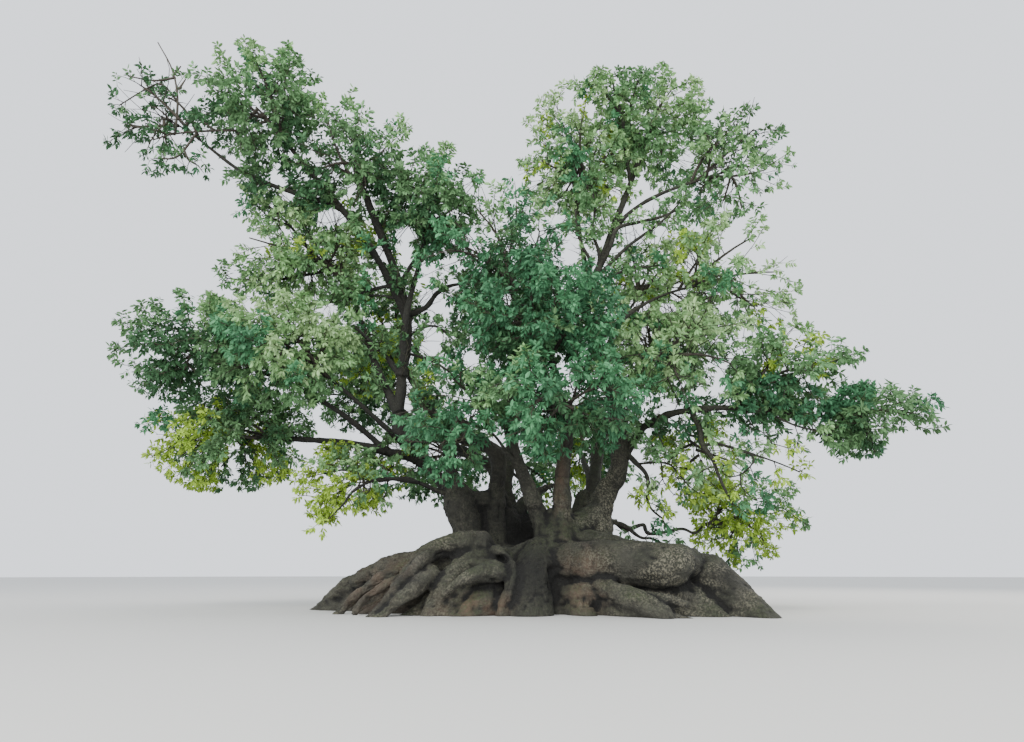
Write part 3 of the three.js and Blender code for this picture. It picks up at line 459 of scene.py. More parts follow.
# Masses and branches that look paler or deeper than the rest: painted light and shade, added to their
# sprays' light
BRIGHT = {"upper_left_inner": -0.1, "upper_left_outer": -0.12, "upper_left_crest": -0.1,
          "tip_left": -0.3, "left_shoulder": 0.36, "left_inner": 0.26, "left_low": -0.05,
          "left_far": -0.14, "left_mid": 0.24, "centre_mid": -0.1, "centre_low": -0.04,
          "right_crest": 0.28, "right_crest_left": 0.3, "right_crown": 0.02,
          "right_shoulder": 0.36, "right_inner": 0.34, "right_mid": 0.4, "right_outer": 0.0,
          "right_arm": -0.2, "right_low": 0.62, "right_skirt": 0.2, "drop": 0.2, "reach": 0.25,
          "loop": 0.25, "sweep": 0.25, "tail": 0.25, "string": 0.25, "fan_left": 0.2,
          "lobe": 0.1, "lobe_left": 0.15, "lobe_right": 0.15, "fringe": 0.1, "fringe_low": 0.2,
          "fan_up": 0.2, "fan_right": 0.2, "fan_far": 0.2, "fan_low": 0.2}
# Share of the sprays in blue green
COOL = {"centre_top": 0.7, "centre_mid": 0.95, "centre_low": 0.95, "centre_left_low": 0.7,
        "right_mid": 0.38, "right_arm": 0.4, "left_mid": 0.25, "back_centre": 0.3, "back_low": 0.3}
COOL_REST = 0.06
# Deep places between the masses, where little light falls: middle, radius along each axis, strength
DEEP_SPOTS = [
    ((-0.7, -2.2, 8.7), (1.3, 2.0, 1.3), 0.35),
    ((-9.3, -0.8, 6.6), (1.6, 2.0, 1.2), 0.22),
    ((-6.3, -2.2, 12.2), (1.5, 2.0, 1.2), 0.15),
    ((-2.6, -1.4, 5.6), (1.2, 1.6, 1.0), 0.25),
    ((3.0, -1.6, 5.4), (1.2, 1.6, 0.8), 0.3),
]
PATCH = np.array([0.75, 0.75, 0.9])   # how fast tones change over the crown, per metre
PATCH_BLUR = 0.12         # how far chance mixes the edges of a patch
COOL_SEED = 31.0
SUNLIT_SEED = 47.0
TONE_NOISE = (5.0, 0.5)   # seed and strength of the noise that changes a spray's light
# Light on a mass's spray: its base, what height and the distance from the middle add, the
# distance that adds nothing, and chance. Then the base and chance on a spray outside the masses.
MASS_LIGHT = (0.42, 0.2, 0.25, 0.6, 0.1)
SPRAY_LIGHT = (0.44, 0.1)
# Open places in the crown and at its edge: middle and radius along each axis
NOTCHES = [
    ((7.1, -0.8, 11.3), (1.4, 3.0, 1.3)),
    ((7.65, -0.8, 9.95), (1.15, 3.0, 1.05)),
    ((4.4, 0.0, 17.75), (0.95, 2.6, 0.6)),
    ((-10.3, -1.2, 11.2), (1.3, 2.0, 1.3)),
    ((-10.1, -3.0, 14.9), (0.55, 2.0, 0.9)),
    ((-12.0, -3.0, 15.5), (0.9, 2.0, 0.8)),
    ((-9.6, -3.0, 11.9), (1.0, 2.2, 1.0)),
    ((-7.3, -3.0, 16.2), (0.85, 2.0, 0.7)),
    ((9.7, -2.2, 6.05), (1.1, 2.0, 0.5)),
    ((9.9, -2.2, 3.85), (1.1, 2.0, 0.75)),
    ((1.7, 0.3, 10.4), (0.5, 2.2, 0.55)),
    ((2.9, 0.3, 10.9), (0.6, 2.2, 0.5)),
    ((3.4, 0.0, 10.1), (0.5, 1.8, 0.35)),
    ((1.2, 0.3, 10.9), (0.4, 2.0, 0.5)),
    ((5.6, -1.0, 9.9), (0.4, 2.0, 0.4)),
]
# The photo's view: the camera's place and tilt, the lens and the middle of the picture in pixels
PHOTO_EYE = (-1.0, -20.0, 1.0)
PHOTO_LENS = 690.0
PHOTO_HORIZON = 201       # pixels from the middle of the picture down to the horizon
PHOTO_TILT = math.atan(PHOTO_HORIZON / PHOTO_LENS)
PHOTO_MIDDLE = (512.0, 371.0)
# Openings that the photo shows through the crown, and after them bare stretches of bough: middle
# and half sizes in the photo's pixels, 1024 across
OPENINGS = [
    (431, 301, 13, 14), (432, 342, 11, 20), (470, 360, 9, 10), (507, 299, 6, 6), (518, 322, 5, 4),
    (462, 448, 8, 13), (436, 451, 9, 9), (571, 256, 9, 9), (560, 219, 8, 5), (572, 242, 8, 10),
    (331, 219, 18, 9), (381, 256, 6, 12), (405, 235, 11, 8), (453, 284, 7, 6), (468, 188, 5, 8),
    (286, 197, 8, 5), (310, 278, 7, 6), (329, 309, 8, 6), (688, 159, 7, 8), (676, 166, 6, 5),
    (634, 231, 12, 8), (660, 231, 9, 6), (641, 286, 8, 6), (691, 263, 6, 12), (680, 292, 8, 9),
    (668, 308, 9, 6), (640, 306, 10, 6), (646, 337, 7, 10), (725, 307, 6, 6), (744, 333, 7, 4),
    (792, 333, 8, 6), (568, 187, 5, 5), (615, 192, 6, 5), (650, 206, 8, 5), (668, 411, 14, 6),
    (512, 168, 7, 9), (700, 392, 5, 4),
    (409, 325, 7, 15), (407, 352, 7, 14), (404, 380, 8, 14), (402, 405, 9, 10), (347, 437, 14, 5),
    (371, 441, 13, 6), (392, 450, 11, 6), (410, 461, 9, 6), (386, 481, 10, 4), (366, 484, 9, 4),
    (351, 491, 6, 5),
]
OPENING_RIM = (0.6, 0.16, 23.0)   # how ragged noise makes a rim, and its scale and seed

# Leaf colours. Each spray's light picks among the darker and lighter tones, so these stand partly for
# painted shade and painted light; the yellow green is painted light shining through
LEAF_TONES = {
    "deep": ((0.05, 0.122, 0.054), "leaf_deep"),
    "blue": ((0.056, 0.163, 0.08), "leaf_deep"),
    "jade": ((0.08, 0.228, 0.108), "leaf_mid"),
    "olive": ((0.1, 0.198, 0.086), "leaf_mid"),
    "mid": ((0.137, 0.275, 0.12), "leaf_mid"),
    "fresh": ((0.208, 0.37, 0.156), "leaf_fresh"),
    "light": ((0.3, 0.46, 0.212), "leaf_fresh"),
    "yellow": ((0.31, 0.46, 0.065), "leaf_fresh"),
}
TONES = list(LEAF_TONES)
# Tones from dark to light, and the light at which each gives way to the next
WARM_TONES = np.array([TONES.index(tone) for tone in ("deep", "olive", "mid", "fresh", "light")])
COOL_TONES = np.array([TONES.index(tone) for tone in ("deep", "blue", "jade", "jade", "fresh")])
YELLOW_TONE = TONES.index("yellow")
TONE_EDGES = np.array([0.24, 0.44, 0.64, 0.84])

# Leafy twigs along the boughs outside their masses: first and last share, count and length
SPRAYED = {
    "upper_left_inner": (0.58, 0.92, 16, 1.3),
    "left_inner": (0.35, 0.75, 12, 1.1),
    "left_low": (0.3, 0.75, 14, 0.9),
    "left_skirt": (0.6, 0.95, 6, 0.7),
    "centre_top": (0.25, 0.7, 12, 0.9),
    "right_crest": (0.3, 0.74, 14, 1.0),
    "right_mid": (0.3, 0.9, 12, 1.0),
    "right_arm": (0.14, 0.98, 32, 0.75),
    "tip_left": (0.05, 0.45, 12, 0.75),
    "upper_left_outer": (0.1, 0.5, 10, 1.0),
    "right_outer": (0.1, 0.7, 8, 0.9),
    "right_shoulder": (0.3, 0.8, 8, 0.9),
    "right_inner": (0.3, 0.8, 8, 0.9),
    "back_left": (0.4, 0.85, 10, 1.0),
    "back_right": (0.4, 0.85, 10, 1.0),
    "back_centre": (0.4, 0.8, 10, 1.0),
}
SPRAY_SHOOTS = 8

# Crooked branches below the arms and in the open parts of the crown: what each grows from, its
# girth, how many leafy twigs it has and the points that it passes
BRANCHES = {
    "drop": ("right_arm", 0.09, 3, [
        (4.0, -1.4, 5.4), (4.0, -1.8, 4.7), (4.0, -1.8, 4.3), (4.3, -1.8, 3.9), (4.5, -1.8, 3.4),
        (4.8, -1.6, 2.7)]),
    "reach": ("drop", 0.05, 5, [
        (4.0, -1.8, 4.2), (4.5, -1.8, 4.3), (5.2, -1.9, 4.1), (5.7, -1.9, 3.9), (6.5, -2.0, 3.5)]),
    "loop": ("reach", 0.03, 2, [
        (5.3, -1.9, 4.1), (5.35, -1.9, 3.8), (5.1, -1.8, 3.5), (4.8, -1.7, 3.4), (4.6, -1.7, 3.5)]),
    "hook": ("loop", 0.02, 2, [
        (5.0, -1.8, 3.45), (5.05, -1.8, 3.1), (5.3, -1.8, 2.8)]),
    "twist": ("right_crest", 0.08, 6, [
        (2.0, 0.0, 4.5), (2.5, -0.5, 4.0), (2.8, -0.6, 3.6), (2.8, -0.6, 3.2), (2.7, -0.6, 2.95),
        (2.8, -0.6, 2.7), (3.2, -0.5, 2.4)]),
    "sweep": ("twist", 0.035, 4, [
        (2.55, -0.5, 3.95), (3.3, -0.7, 3.9), (3.6, -0.8, 3.6), (4.1, -0.8, 3.1)]),
    "tail": ("right_arm", 0.03, 3, [
        (2.6, -0.6, 5.0), (3.0, -1.0, 4.1), (3.1, -1.1, 3.5), (3.4, -1.1, 3.0)]),
    "string": ("right_arm", 0.03, 3, [
        (2.9, -0.8, 5.2), (3.0, -1.1, 4.8), (3.2, -1.1, 4.4), (3.3, -1.1, 3.9)]),
    "drip": ("right_arm", 0.03, 3, [
        (5.2, -1.9, 5.3), (5.3, -2.1, 4.8), (5.6, -2.2, 4.5), (5.8, -2.2, 4.2)]),
    "under_arm": ("right_arm", 0.035, 9, [
        (5.8, -2.0, 5.1), (6.4, -2.3, 4.7), (7.0, -2.4, 4.45), (7.8, -2.4, 4.25)]),
    "low_crook": ("right_stem_foot", 0.075, 4, [
        (1.4, 0.1, 2.45), (2.2, 0.3, 2.3), (2.7, 0.4, 1.9), (3.0, 0.5, 1.9), (3.5, 0.6, 1.75)]),
    "s_branch": ("upper_left_inner", 0.11, 9, [
        (-4.1, -0.4, 8.5), (-3.6, -0.5, 8.65), (-3.3, -0.8, 9.0), (-2.8, -1.0, 9.2), (-2.0, -1.2, 9.2)]),
    "twin": ("upper_left_inner", 0.08, 7, [
        (-4.2, -0.4, 9.5), (-4.0, -0.6, 10.2), (-3.7, -0.7, 10.5), (-3.4, -0.8, 10.6),
        (-3.3, -0.8, 11.0)]),
    "twin_up": ("twin", 0.05, 6, [(-3.7, -0.7, 10.5), (-3.7, -0.7, 10.9), (-3.8, -0.7, 11.4)]),
    "left_pair": ("upper_left_inner", 0.07, 9, [
        (-4.15, -0.4, 9.2), (-4.7, -0.6, 9.35), (-5.2, -0.8, 9.15), (-5.6, -1.0, 8.9),
        (-6.2, -1.1, 9.0)]),
    "left_pair_low": ("upper_left_inner", 0.05, 9, [
        (-4.1, -0.4, 9.0), (-5.0, -0.7, 9.0), (-5.6, -0.9, 8.8), (-6.4, -1.1, 8.6)]),
    "up_left_back": ("upper_left_inner", 0.1, 9, [
        (-4.15, -0.4, 6.4), (-4.6, -0.5, 7.0), (-5.1, -0.7, 7.4), (-5.6, -0.9, 7.9)]),
    "cross": ("upper_left_inner", 0.05, 9, [
        (-4.15, -0.4, 7.3), (-3.4, -0.6, 6.95), (-2.9, -0.7, 6.6), (-2.5, -0.8, 6.4)]),
    "cross_up": ("upper_left_inner", 0.05, 10, [
        (-4.1, -0.4, 7.8), (-3.5, -0.7, 8.0), (-3.0, -0.9, 7.8), (-2.6, -1.0, 7.4)]),
    "fan_left": ("right_crest", 0.07, 8, [
        (1.7, 0.0, 9.6), (1.4, -0.2, 10.3), (1.2, -0.3, 10.8), (1.1, -0.4, 11.3), (1.0, -0.5, 12.0)]),
    "fan_up": ("right_crest", 0.07, 8, [
        (1.7, 0.0, 9.8), (1.7, -0.1, 10.6), (1.6, -0.3, 11.3), (1.7, -0.4, 12.1), (1.5, -0.5, 13.1)]),
    "fan_right": ("right_crest", 0.09, 8, [
        (1.8, 0.0, 10.0), (2.1, -0.2, 10.9), (2.4, -0.4, 11.4), (3.1, -0.6, 11.5), (3.8, -0.8, 11.6),
        (4.5, -1.0, 12.0)]),
    "fan_far": ("right_crest", 0.07, 8, [
        (1.8, 0.0, 9.9), (2.5, -0.3, 10.6), (3.1, -0.5, 11.0), (3.6, -0.7, 11.4), (4.2, -0.9, 12.0)]),
    "fan_low": ("right_crest", 0.06, 8, [
        (1.7, 0.0, 9.5), (2.2, -0.3, 9.8), (2.7, -0.6, 9.9), (3.5, -0.9, 9.9)]),
    "lobe": ("right_crest", 0.07, 9, [
        (2.9, 0.1, 13.4), (2.6, -0.7, 14.5), (2.3, -1.3, 15.3), (2.2, -1.6, 16.1)]),
    "lobe_left": ("lobe", 0.04, 9, [(2.4, -1.1, 15.0), (1.9, -1.4, 15.6), (1.5, -1.6, 15.9)]),
    "lobe_right": ("lobe", 0.04, 9, [(2.5, -0.9, 14.8), (2.85, -1.4, 15.5), (3.05, -1.6, 16.0)]),
    "fringe": ("left_shoulder", 0.05, 10, [
        (-7.0, -0.4, 10.4), (-8.0, -0.9, 11.5), (-8.7, -1.1, 12.1), (-9.4, -1.2, 13.0)]),
    "fringe_low": ("fringe", 0.035, 7, [
        (-7.8, -0.8, 11.3), (-8.5, -1.0, 11.5), (-9.0, -1.1, 11.9)]),
    "bump": ("left_shoulder", 0.05, 10, [
        (-6.6, -0.4, 9.9), (-7.8, -0.5, 9.6), (-8.8, -0.6, 9.5), (-9.7, -0.6, 9.6)]),
    "left_hook": ("left_skirt", 0.06, 3, [
        (-3.6, -0.9, 3.3), (-4.3, -1.3, 3.38), (-4.9, -1.5, 3.24), (-5.3, -1.55, 3.03),
        (-5.45, -1.55, 2.75), (-5.65, -1.55, 2.5)]),
    "left_prong": ("left_hook", 0.03, 1, [
        (-5.1, -1.5, 3.15), (-5.05, -1.55, 3.35), (-5.12, -1.55, 3.6)]),
    "left_spur": ("left_hook", 0.025, 1, [
        (-4.75, -1.5, 3.25), (-4.8, -1.55, 3.05), (-5.0, -1.55, 2.9)]),
    "between": ("back_centre", 0.06, 11, [
        (-1.15, 1.9, 4.3), (-0.6, 2.1, 4.3), (-0.1, 2.2, 4.0), (0.3, 2.2, 3.4)]),
    "between_low": ("back_centre", 0.05, 9, [
        (-1.15, 1.9, 4.2), (-0.7, 2.2, 3.8), (-0.5, 2.3, 3.2), (-0.3, 2.3, 2.9)]),
    "left_hook_end": ("left_skirt", 0.025, 1, [
        (-4.5, -0.5, 3.4), (-4.5, -0.6, 3.15), (-4.6, -0.6, 2.95)]),
}
# Boughs that the photo shows thin and crooked: share of the girth, and how far they wander
GNARLED = {"right_arm": (0.75, 0.05), "right_skirt": (0.55, 0.3), "right_low": (0.7, 0.15),
           "left_skirt": (0.8, 0.12)}
# Boughs that the photo shows slim: the share of the length where it sets in, and of the girth
SLIM = {"right_crest": (0.5, 0.66), "right_crown": (0.0, 0.62), "right_shoulder": (0.0, 0.72),
        "right_inner": (0.0, 0.75)}
BRANCH_TIP = 0.35         # a branch's radius at its end, over its girth
BRANCH_TWIG = 0.55        # length of its leafy twigs, the stretch that has them and shoots on each
BRANCH_LEAFY = (0.35, 0.99)
BRANCH_SHOOTS = 5

# Bare twigs at the crown's left tip, each from its foot to its end
BARE_TWIGS = {
    "base": [(-8.6, -3.0, 13.1), (-9.5, -3.0, 13.1), (-10.6, -3.0, 13.0), (-11.2, -3.0, 12.8)],
    "tall": [(-10.6, -3.0, 13.0), (-10.7, -3.0, 14.2), (-11.0, -3.0, 15.2), (-11.55, -3.0, 16.15)],
    "fork": [(-10.95, -3.0, 14.95), (-10.75, -3.0, 15.3)],
    "side": [(-10.7, -3.0, 14.5), (-10.55, -3.0, 14.85)],
    "flat": [(-10.85, -3.0, 14.9), (-11.45, -3.0, 14.8), (-12.25, -3.0, 14.95)],
    "end": [(-10.7, -3.0, 14.1), (-11.2, -3.0, 14.65), (-11.6, -3.0, 14.55), (-12.35, -3.0, 13.95)],
    "low": [(-10.6, -3.0, 12.98), (-11.4, -3.0, 13.15), (-12.05, -3.0, 13.3)],
    "down": [(-10.0, -3.0, 13.0), (-10.45, -3.0, 12.25), (-11.05, -3.0, 12.2)],
    "inner": [(-10.65, -3.0, 13.2), (-10.95, -3.0, 13.6), (-11.35, -3.0, 13.95)],
    "mid": [(-9.5, -3.0, 13.1), (-9.8, -3.0, 13.35), (-10.1, -3.0, 13.55)],
    "drop": [(-10.3, -3.0, 12.5), (-10.1, -3.0, 12.15), (-9.8, -3.0, 11.95)],
}
BARE_TWIG = (0.038, 0.018)   # radius at foot and end
BARE_STEPS = 16
BARE_SIDES = 6
# Leaf clusters on those twigs: first and last share, count and length of their stalks
CLUSTERS = {
    "base": (0.3, 1.0, 9, 0.3), "flat": (0.35, 0.6, 3, 0.25), "end": (0.4, 0.5, 3, 0.25),
    "low": (0.45, 1.0, 6, 0.3), "down": (0.5, 1.0, 6, 0.3), "inner": (0.5, 1.0, 5, 0.3),
    "mid": (0.4, 1.0, 5, 0.35), "drop": (0.4, 1.0, 5, 0.25), "tall": (0.2, 0.3, 2, 0.3),
}
END_CLUSTER = (0.93, 1.0, 4, 0.22)   # a second one, at the end of the twig named end
CLUSTER_SHOOTS = 2
# First seeds: of the masses, and of the leafy twigs on boughs, on branches and in clusters
MASS_SEED = 1000
TWIG_SEED = 4000
BRANCH_SEED = 100
CLUSTER_SEED = 200

# Bark: shares of its colour in full shade, in darker patches and in paler speckle, then the
# values of the noise between which patches, speckle, moss and lichen set in, and their strength
SHADED = 0.12
DARKER = 0.45
PALER = 2.0
PATCH_RANGE = (0.38, 0.62)
SPECKLE_RANGE = (0.48, 0.68)
MOSS_RANGE = (0.3, 0.6)
LICHEN_RANGE = (0.46, 0.6)
CRACK_RANGE = (0.0, 0.12)
SPECKLE = 0.4
RUST = 0.7
CRACK_DEPTH = 0.5
# Layers of the grain: scale, detail and roughness of the noise
GRAIN_LAYERS = {"Patches": (1.7, 4.0, 0.6), "Speckle": (13.0, 3.0, 0.6), "Dots": (21.0, 2.0, 0.6),
                "Fine": (42.0, 4.0, 0.7)}
CRACK_SCALE = 9.0
# Scale of the grain and depth of the bump in metres, on the bark and on twigs
BARK_GRAIN = (1.0, 0.03)
TWIG_GRAIN = (1.5, 0.004)
BUMP = 0.9
BARK_ROUGHNESS = 0.88
# Leaves: shares of the tone in darker and lighter places, and the values of the noise between them
LEAF_SHADES = (0.75, 1.25)
LEAF_RANGE = (0.35, 0.65)
LEAF_ROUGHNESS = 0.65
LEAF_SHINE = 0.2
FLOOR_ROUGHNESS = 0.9

# Lamps: place, size and colour. All of them face LIT_POINT.
LAMPS = {
    "key": ((-16, -24, 26), 18, (1.0, 0.97, 0.92)),
    "fill": ((-2, -34, 9), 20, (1.0, 0.98, 0.95)),
    "rim": ((18, 16, 24), 16, (1.0, 0.93, 0.82)),
}
LIT_POINT = (0, 0, 7)
STUDIO_COLOUR = (0.86, 0.9, 0.96, 1)
FLOOR_SIDES = 96
FLOOR_DROP = 0.003        # the floor lies this far below the tree's foot
SENSOR = 36               # width of the camera's sensor in millimetres


def chance(first, second):
    """A repeatable number from 0 to 1: the fraction of a scaled sine of two counts."""
    wave = SHUFFLE_SCALE * np.sin(first * SHUFFLE_FIRST + second * SHUFFLE_SECOND)
    return wave - np.floor(wave)


def unit(vectors):
    """Each vector divided by its length."""
    return vectors / np.maximum(np.linalg.norm(vectors, axis=-1, keepdims=True), NO_LENGTH)


def noise(points, seed=0.0):
    """Smooth noise from 0 to 1: chance numbers at the corners of each unit cell, mixed by the
    smoothstep of the place in the cell."""
    base = np.floor(points)
    share = points - base
    share = share * share * (3 - 2 * share)
    total = np.zeros(len(points))
    for corner in itertools.product((0, 1), repeat=3):
        weight = np.prod(np.where(corner, share, 1 - share), axis=1)
        wave = SHUFFLE_SCALE * np.sin((base + corner) @ LATTICE_TURNS + seed)
        total += weight * (wave - np.floor(wave))
    return total


def layered_noise(points, layers, seed=0.0):
    """Noise from 0 to 1: a sum of layers, each twice as fine and half as strong as the last."""
    total = np.zeros(len(points))
    weight = 0.0
    for layer in range(layers):
        total += noise(points * 2 ** layer, seed + LAYER_SEED * layer) / 2 ** layer
        weight += 1 / 2 ** layer
    return total / weight


def creases(points, seed=0.0, sharp=NARROW_CREASES):
    """Lines of 1 on 0: a power of how close layered noise is to its middle value."""
    return (1 - np.abs(2 * layered_noise(points, 2, seed) - 1)) ** sharp


class Course:
    """A limb's line: a uniform Catmull-Rom curve through its points, plus a sine crook that
    dies out at both ends."""

    def __init__(self, points, seed=0, crook=0.0):
        self.points = np.array(points, float)
        self.wander = crook * np.linalg.norm(self.points[0] - self.points[-1])
        self.seed = seed

    def at(self, shares):
        """Points at shares of the line: the cubic through the two nearest knots, plus the crook."""
        shares = np.atleast_1d(np.asarray(shares, float))
        line = self.points
        knots = np.vstack([2 * line[0] - line[1], line, 2 * line[-1] - line[-2]])
        spot = shares * (len(line) - 1)
        index = np.minimum(spot.astype(int), len(line) - 2)
        way = (spot - index)[:, None]
        before, start, end, after = (knots[index + step] for step in range(4))
        leave, arrive = TENSION * (end - before), TENSION * (after - start)
        curve = (start + leave * way + (3 * (end - start) - 2 * leave - arrive) * way ** 2
                 + (2 * (start - end) + leave + arrive) * way ** 3)
        swing = self.wander * np.sin(np.pi * shares)[:, None]
        return curve + swing * np.sin(np.outer(shares, CROOK_TURNS) + self.seed + np.arange(3))

    def length(self):
        """The sum of the steps between even shares of the line."""
        spots = self.at(np.linspace(0, 1, LENGTH_STEPS))
        return np.linalg.norm(np.diff(spots, axis=0), axis=1).sum()


class Cell:
    """The space of one mass: an ellipsoid cut off by flat walls half way to its neighbours."""

    def __init__(self, name):
        row = BOUGHS[name]
        self.middle = np.array(row["at"])
        self.reach = FULLNESS * np.array(row["reach"])
        self.size = np.prod(self.reach) ** (1 / 3)
        self.normals = []
        self.limits = []
        for other in (BOUGHS[key] for key in BOUGHS if key != name):
            way = np.array(other["at"]) - self.middle
            distance = np.linalg.norm(way)
            normal = way / distance
            mine = np.linalg.norm(normal * self.reach)
            theirs = FULLNESS * np.linalg.norm(normal * np.array(other["reach"]))
            if mine + theirs > distance:
                limit = distance * mine / (mine + theirs) - CELL_MARGIN
                self.normals.append(normal)
                self.limits.append(limit + self.middle @ normal)
        low, high = np.array(CAD_BOX)
        spare = BOX_ROOM * (high - low)
        self.normals = np.vstack([*self.normals, np.eye(3), -np.eye(3)])
        self.limits = np.concatenate([self.limits, high + spare, spare - low])

    def holds(self, points, margin=0.0):
        """True for points inside the ellipsoid and behind every wall, by a margin."""
        inside = np.linalg.norm((points - self.middle) / (self.reach - margin), axis=1) <= 1
        return inside & np.all(points @ self.normals.T <= self.limits - margin, axis=1)

    def room(self, starts, ways):
        """How far each way runs from its start before it leaves the space."""
        base = (starts - self.middle) / self.reach
        step = ways / self.reach
        square = np.sum(step * step, axis=1)
        cross = np.sum(base * step, axis=1)
        rest = np.sum(base * base, axis=1) - 1
        edge = (-cross + np.sqrt(np.maximum(cross * cross - square * rest, 0))) / square
        towards = ways @ self.normals.T
        gap = self.limits - starts @ self.normals.T
        walls = np.where(towards > NO_STEP, gap / np.maximum(towards, NO_STEP), np.inf)
        return np.maximum(np.minimum(edge, walls.min(axis=1, initial=np.inf)), 0)


class Outdoors:
    """The space round a bough outside the masses: the CAD box alone."""

    def holds(self, points, margin=0.0):
        """True for points inside the box by a margin."""
        low, high = np.array(CAD_BOX)
        return np.all((points > low + margin) & (points < high - margin), axis=1)

    def room(self, starts, ways):
        """The same open room for every start."""
        return np.full(len(starts), OPEN_ROOM)


def lay_boughs():
    """Every bough's course, the share of it at which it enters its mass, and its radii."""
    laid = {name: (Course(ends), 1.0, 0, 0) for name, ends in STEMS.items()}
    for seed, (name, row) in enumerate(BOUGHS.items()):
        parent, parent_end, _, _ = laid[row["parent"]]
        start = parent.at(row["share"] * parent_end)[0]
        finish = np.array(row["at"])
        rise = row.get("arch", ARCH) * np.linalg.norm(finish - start)
        via = row.get("via", [(start + finish) / 2 + rise * UP])
        course = Course([start, *via, finish], seed, CROOK)
        tip = row["girth"] * BOUGH_TIP
        shares = np.linspace(1, 0, SEARCH_STEPS + 1)
        outside = ~Cell(name).holds(course.at(shares), tip)
        end = shares[max(np.argmax(outside) - 1, 0)]
        laid[name] = (course, end, row["girth"], tip)
    return {name: laid[name] for name in BOUGHS}


def lay_branches():
    """Every crooked branch's course. It starts at the point of its parent that is nearest to its
    first point."""
    lines = {name: line[0] for name, line in BOUGH_LINES.items()}
    lines["right_stem_foot"] = Course(STEMS["right_stem"])
    for seed, (name, (parent, _, _, points)) in enumerate(BRANCHES.items()):
        track = lines[parent].at(np.linspace(0, 1, SEARCH_STEPS))
        nearest = np.argmin(np.linalg.norm(track - np.array(points[0]), axis=1))
        lines[name] = Course([track[nearest], *points[1:]], seed, CROOK)
    return {name: lines[name] for name in BRANCHES}


BOUGH_LINES = lay_boughs()
BRANCH_LINES = lay_branches()


def bough_radius(name, shares):
    """A bough's radius: straight taper to its mass, then on to the end of the mass's stem."""
    _, end, girth, tip = BOUGH_LINES[name]
    before = girth + (tip - girth) * shares / end
    after = tip * (1 + (STEM_TIP - 1) * (shares - end) / max(1 - end, NO_STEP))
    return np.where(shares <= end, before, after)


def carried_frames(spots):
    """Two directions square to a path at each spot, carried along it without twisting."""
    along = unit(np.gradient(spots, axis=0))
    across = np.cross(along[0], UP if abs(along[0][2]) < STEEP_PATH else ASIDE)
    rows = []
    for way in along:
        across = across - way * (across @ way)
        across = across / np.linalg.norm(across)
        rows.append((across, np.cross(way, across)))
    first, second = np.array(rows).transpose(1, 0, 2)
    return along, first, second


def ring_faces(rings, sides):
    """Quads between each ring and the next, as two triangles each, facing out."""
    ring, side = np.meshgrid(np.arange(rings - 1), np.arange(sides), indexing="ij")
    near = ring * sides + side
    beside = ring * sides + (side + 1) % sides
    quads = np.stack([near, beside, beside + sides, near + sides], axis=-1).reshape(-1, 4)
    return np.vstack([quads[:, [0, 1, 2]], quads[:, [0, 2, 3]]])


def tube_faces(rings, sides):
    """Triangles of a closed tube: those between its rings, and a fan from each end ring to one of
    the two points that follow the rings."""
    count = rings * sides
    last = count - sides
    turn = np.arange(sides)
    after = (turn + 1) % sides
    start_fan = np.stack([np.full(sides, count), after, turn], axis=1)
    end_fan = np.stack([np.full(sides, count + 1), last + turn, last + after], axis=1)
    return np.vstack([ring_faces(rings, sides), start_fan, end_fan])


def closed_tube(spots, radii, sides, round_ends=True, second_radii=None):
    """A tube round a path, closed at both ends. Each ring is its spot plus the radius times the
    cosine and sine of its angle along the two carried directions. Round ends add rings that
    shrink as the cosine of their lift and move out as its sine."""
    second_radii = radii if second_radii is None else second_radii
    along, first, second = carried_frames(spots)
    lifts = np.radians(ROUND_LIFTS) if round_ends else np.zeros(0)
    head = [spots[0] - along[0] * radii[0] * math.sin(lift) for lift in lifts]
    tail = [spots[-1] + along[-1] * radii[-1] * math.sin(lift) for lift in lifts[::-1]]
    shrink = np.concatenate([np.cos(lifts), np.ones(len(spots)), np.cos(lifts[::-1])])
    spread = len(lifts)
    order = np.clip(np.arange(len(shrink)) - spread, 0, len(spots) - 1)
    centres = np.vstack([*([head] if head else []), spots, *([tail] if tail else [])])
    angle = np.linspace(0, 2 * np.pi, sides, endpoint=False)
    wide = (shrink * radii[order])[:, None, None]
    tall = (shrink * second_radii[order])[:, None, None]
    rings = (centres[:, None, :] + wide * np.cos(angle)[None, :, None] * first[order][:, None, :]
             + tall * np.sin(angle)[None, :, None] * second[order][:, None, :])
    points = rings.reshape(-1, 3)
    reach = radii if round_ends else 0 * radii
    caps = np.array([spots[0] - along[0] * reach[0], spots[-1] + along[-1] * reach[-1]])
    return np.vstack([points, caps]), tube_faces(len(centres), sides)


def joined(parts):
    """Several pairs of points and triangles as one."""
    points, faces, start = [], [], 0
    for part_points, part_faces in parts:
        points.append(part_points)
        faces.append(part_faces + start)
        start += len(part_points)
    return np.vstack(points), np.vstack(faces)


def fill_mesh(mesh, points, triangles, smooth=True):
    """The mesh with these points and triangles, written as whole arrays."""
    mesh.vertices.add(len(points))
    mesh.vertices.foreach_set("co", np.ascontiguousarray(points, np.float32).ravel())
    mesh.loops.add(3 * len(triangles))
    mesh.loops.foreach_set("vertex_index", np.ascontiguousarray(triangles, np.int32).ravel())
    mesh.polygons.add(len(triangles))
    mesh.polygons.foreach_set("loop_start", np.arange(0, 3 * len(triangles), 3, dtype=np.int32))
    mesh.polygons.foreach_set("use_smooth", np.full(len(triangles), smooth))
    mesh.update(calc_edges=True)
    return mesh


def add_piece(name, mesh, material, nodes):
    """A piece at the origin that rides on the root body and stands for CAD nodes."""
    piece = bpy.data.objects.new(name, mesh)
    bpy.context.scene.collection.objects.link(piece)
    mesh.materials.clear()
    mesh.materials.append(material)
    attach(piece, "root")
    if nodes:
        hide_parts(*nodes)
    return piece


def set_attribute(mesh, name, values):
    """Stores one number for each point of the mesh."""
    field = mesh.attributes.new(name, "FLOAT", "POINT")
    field.data.foreach_set("value", np.ascontiguousarray(values, np.float32))


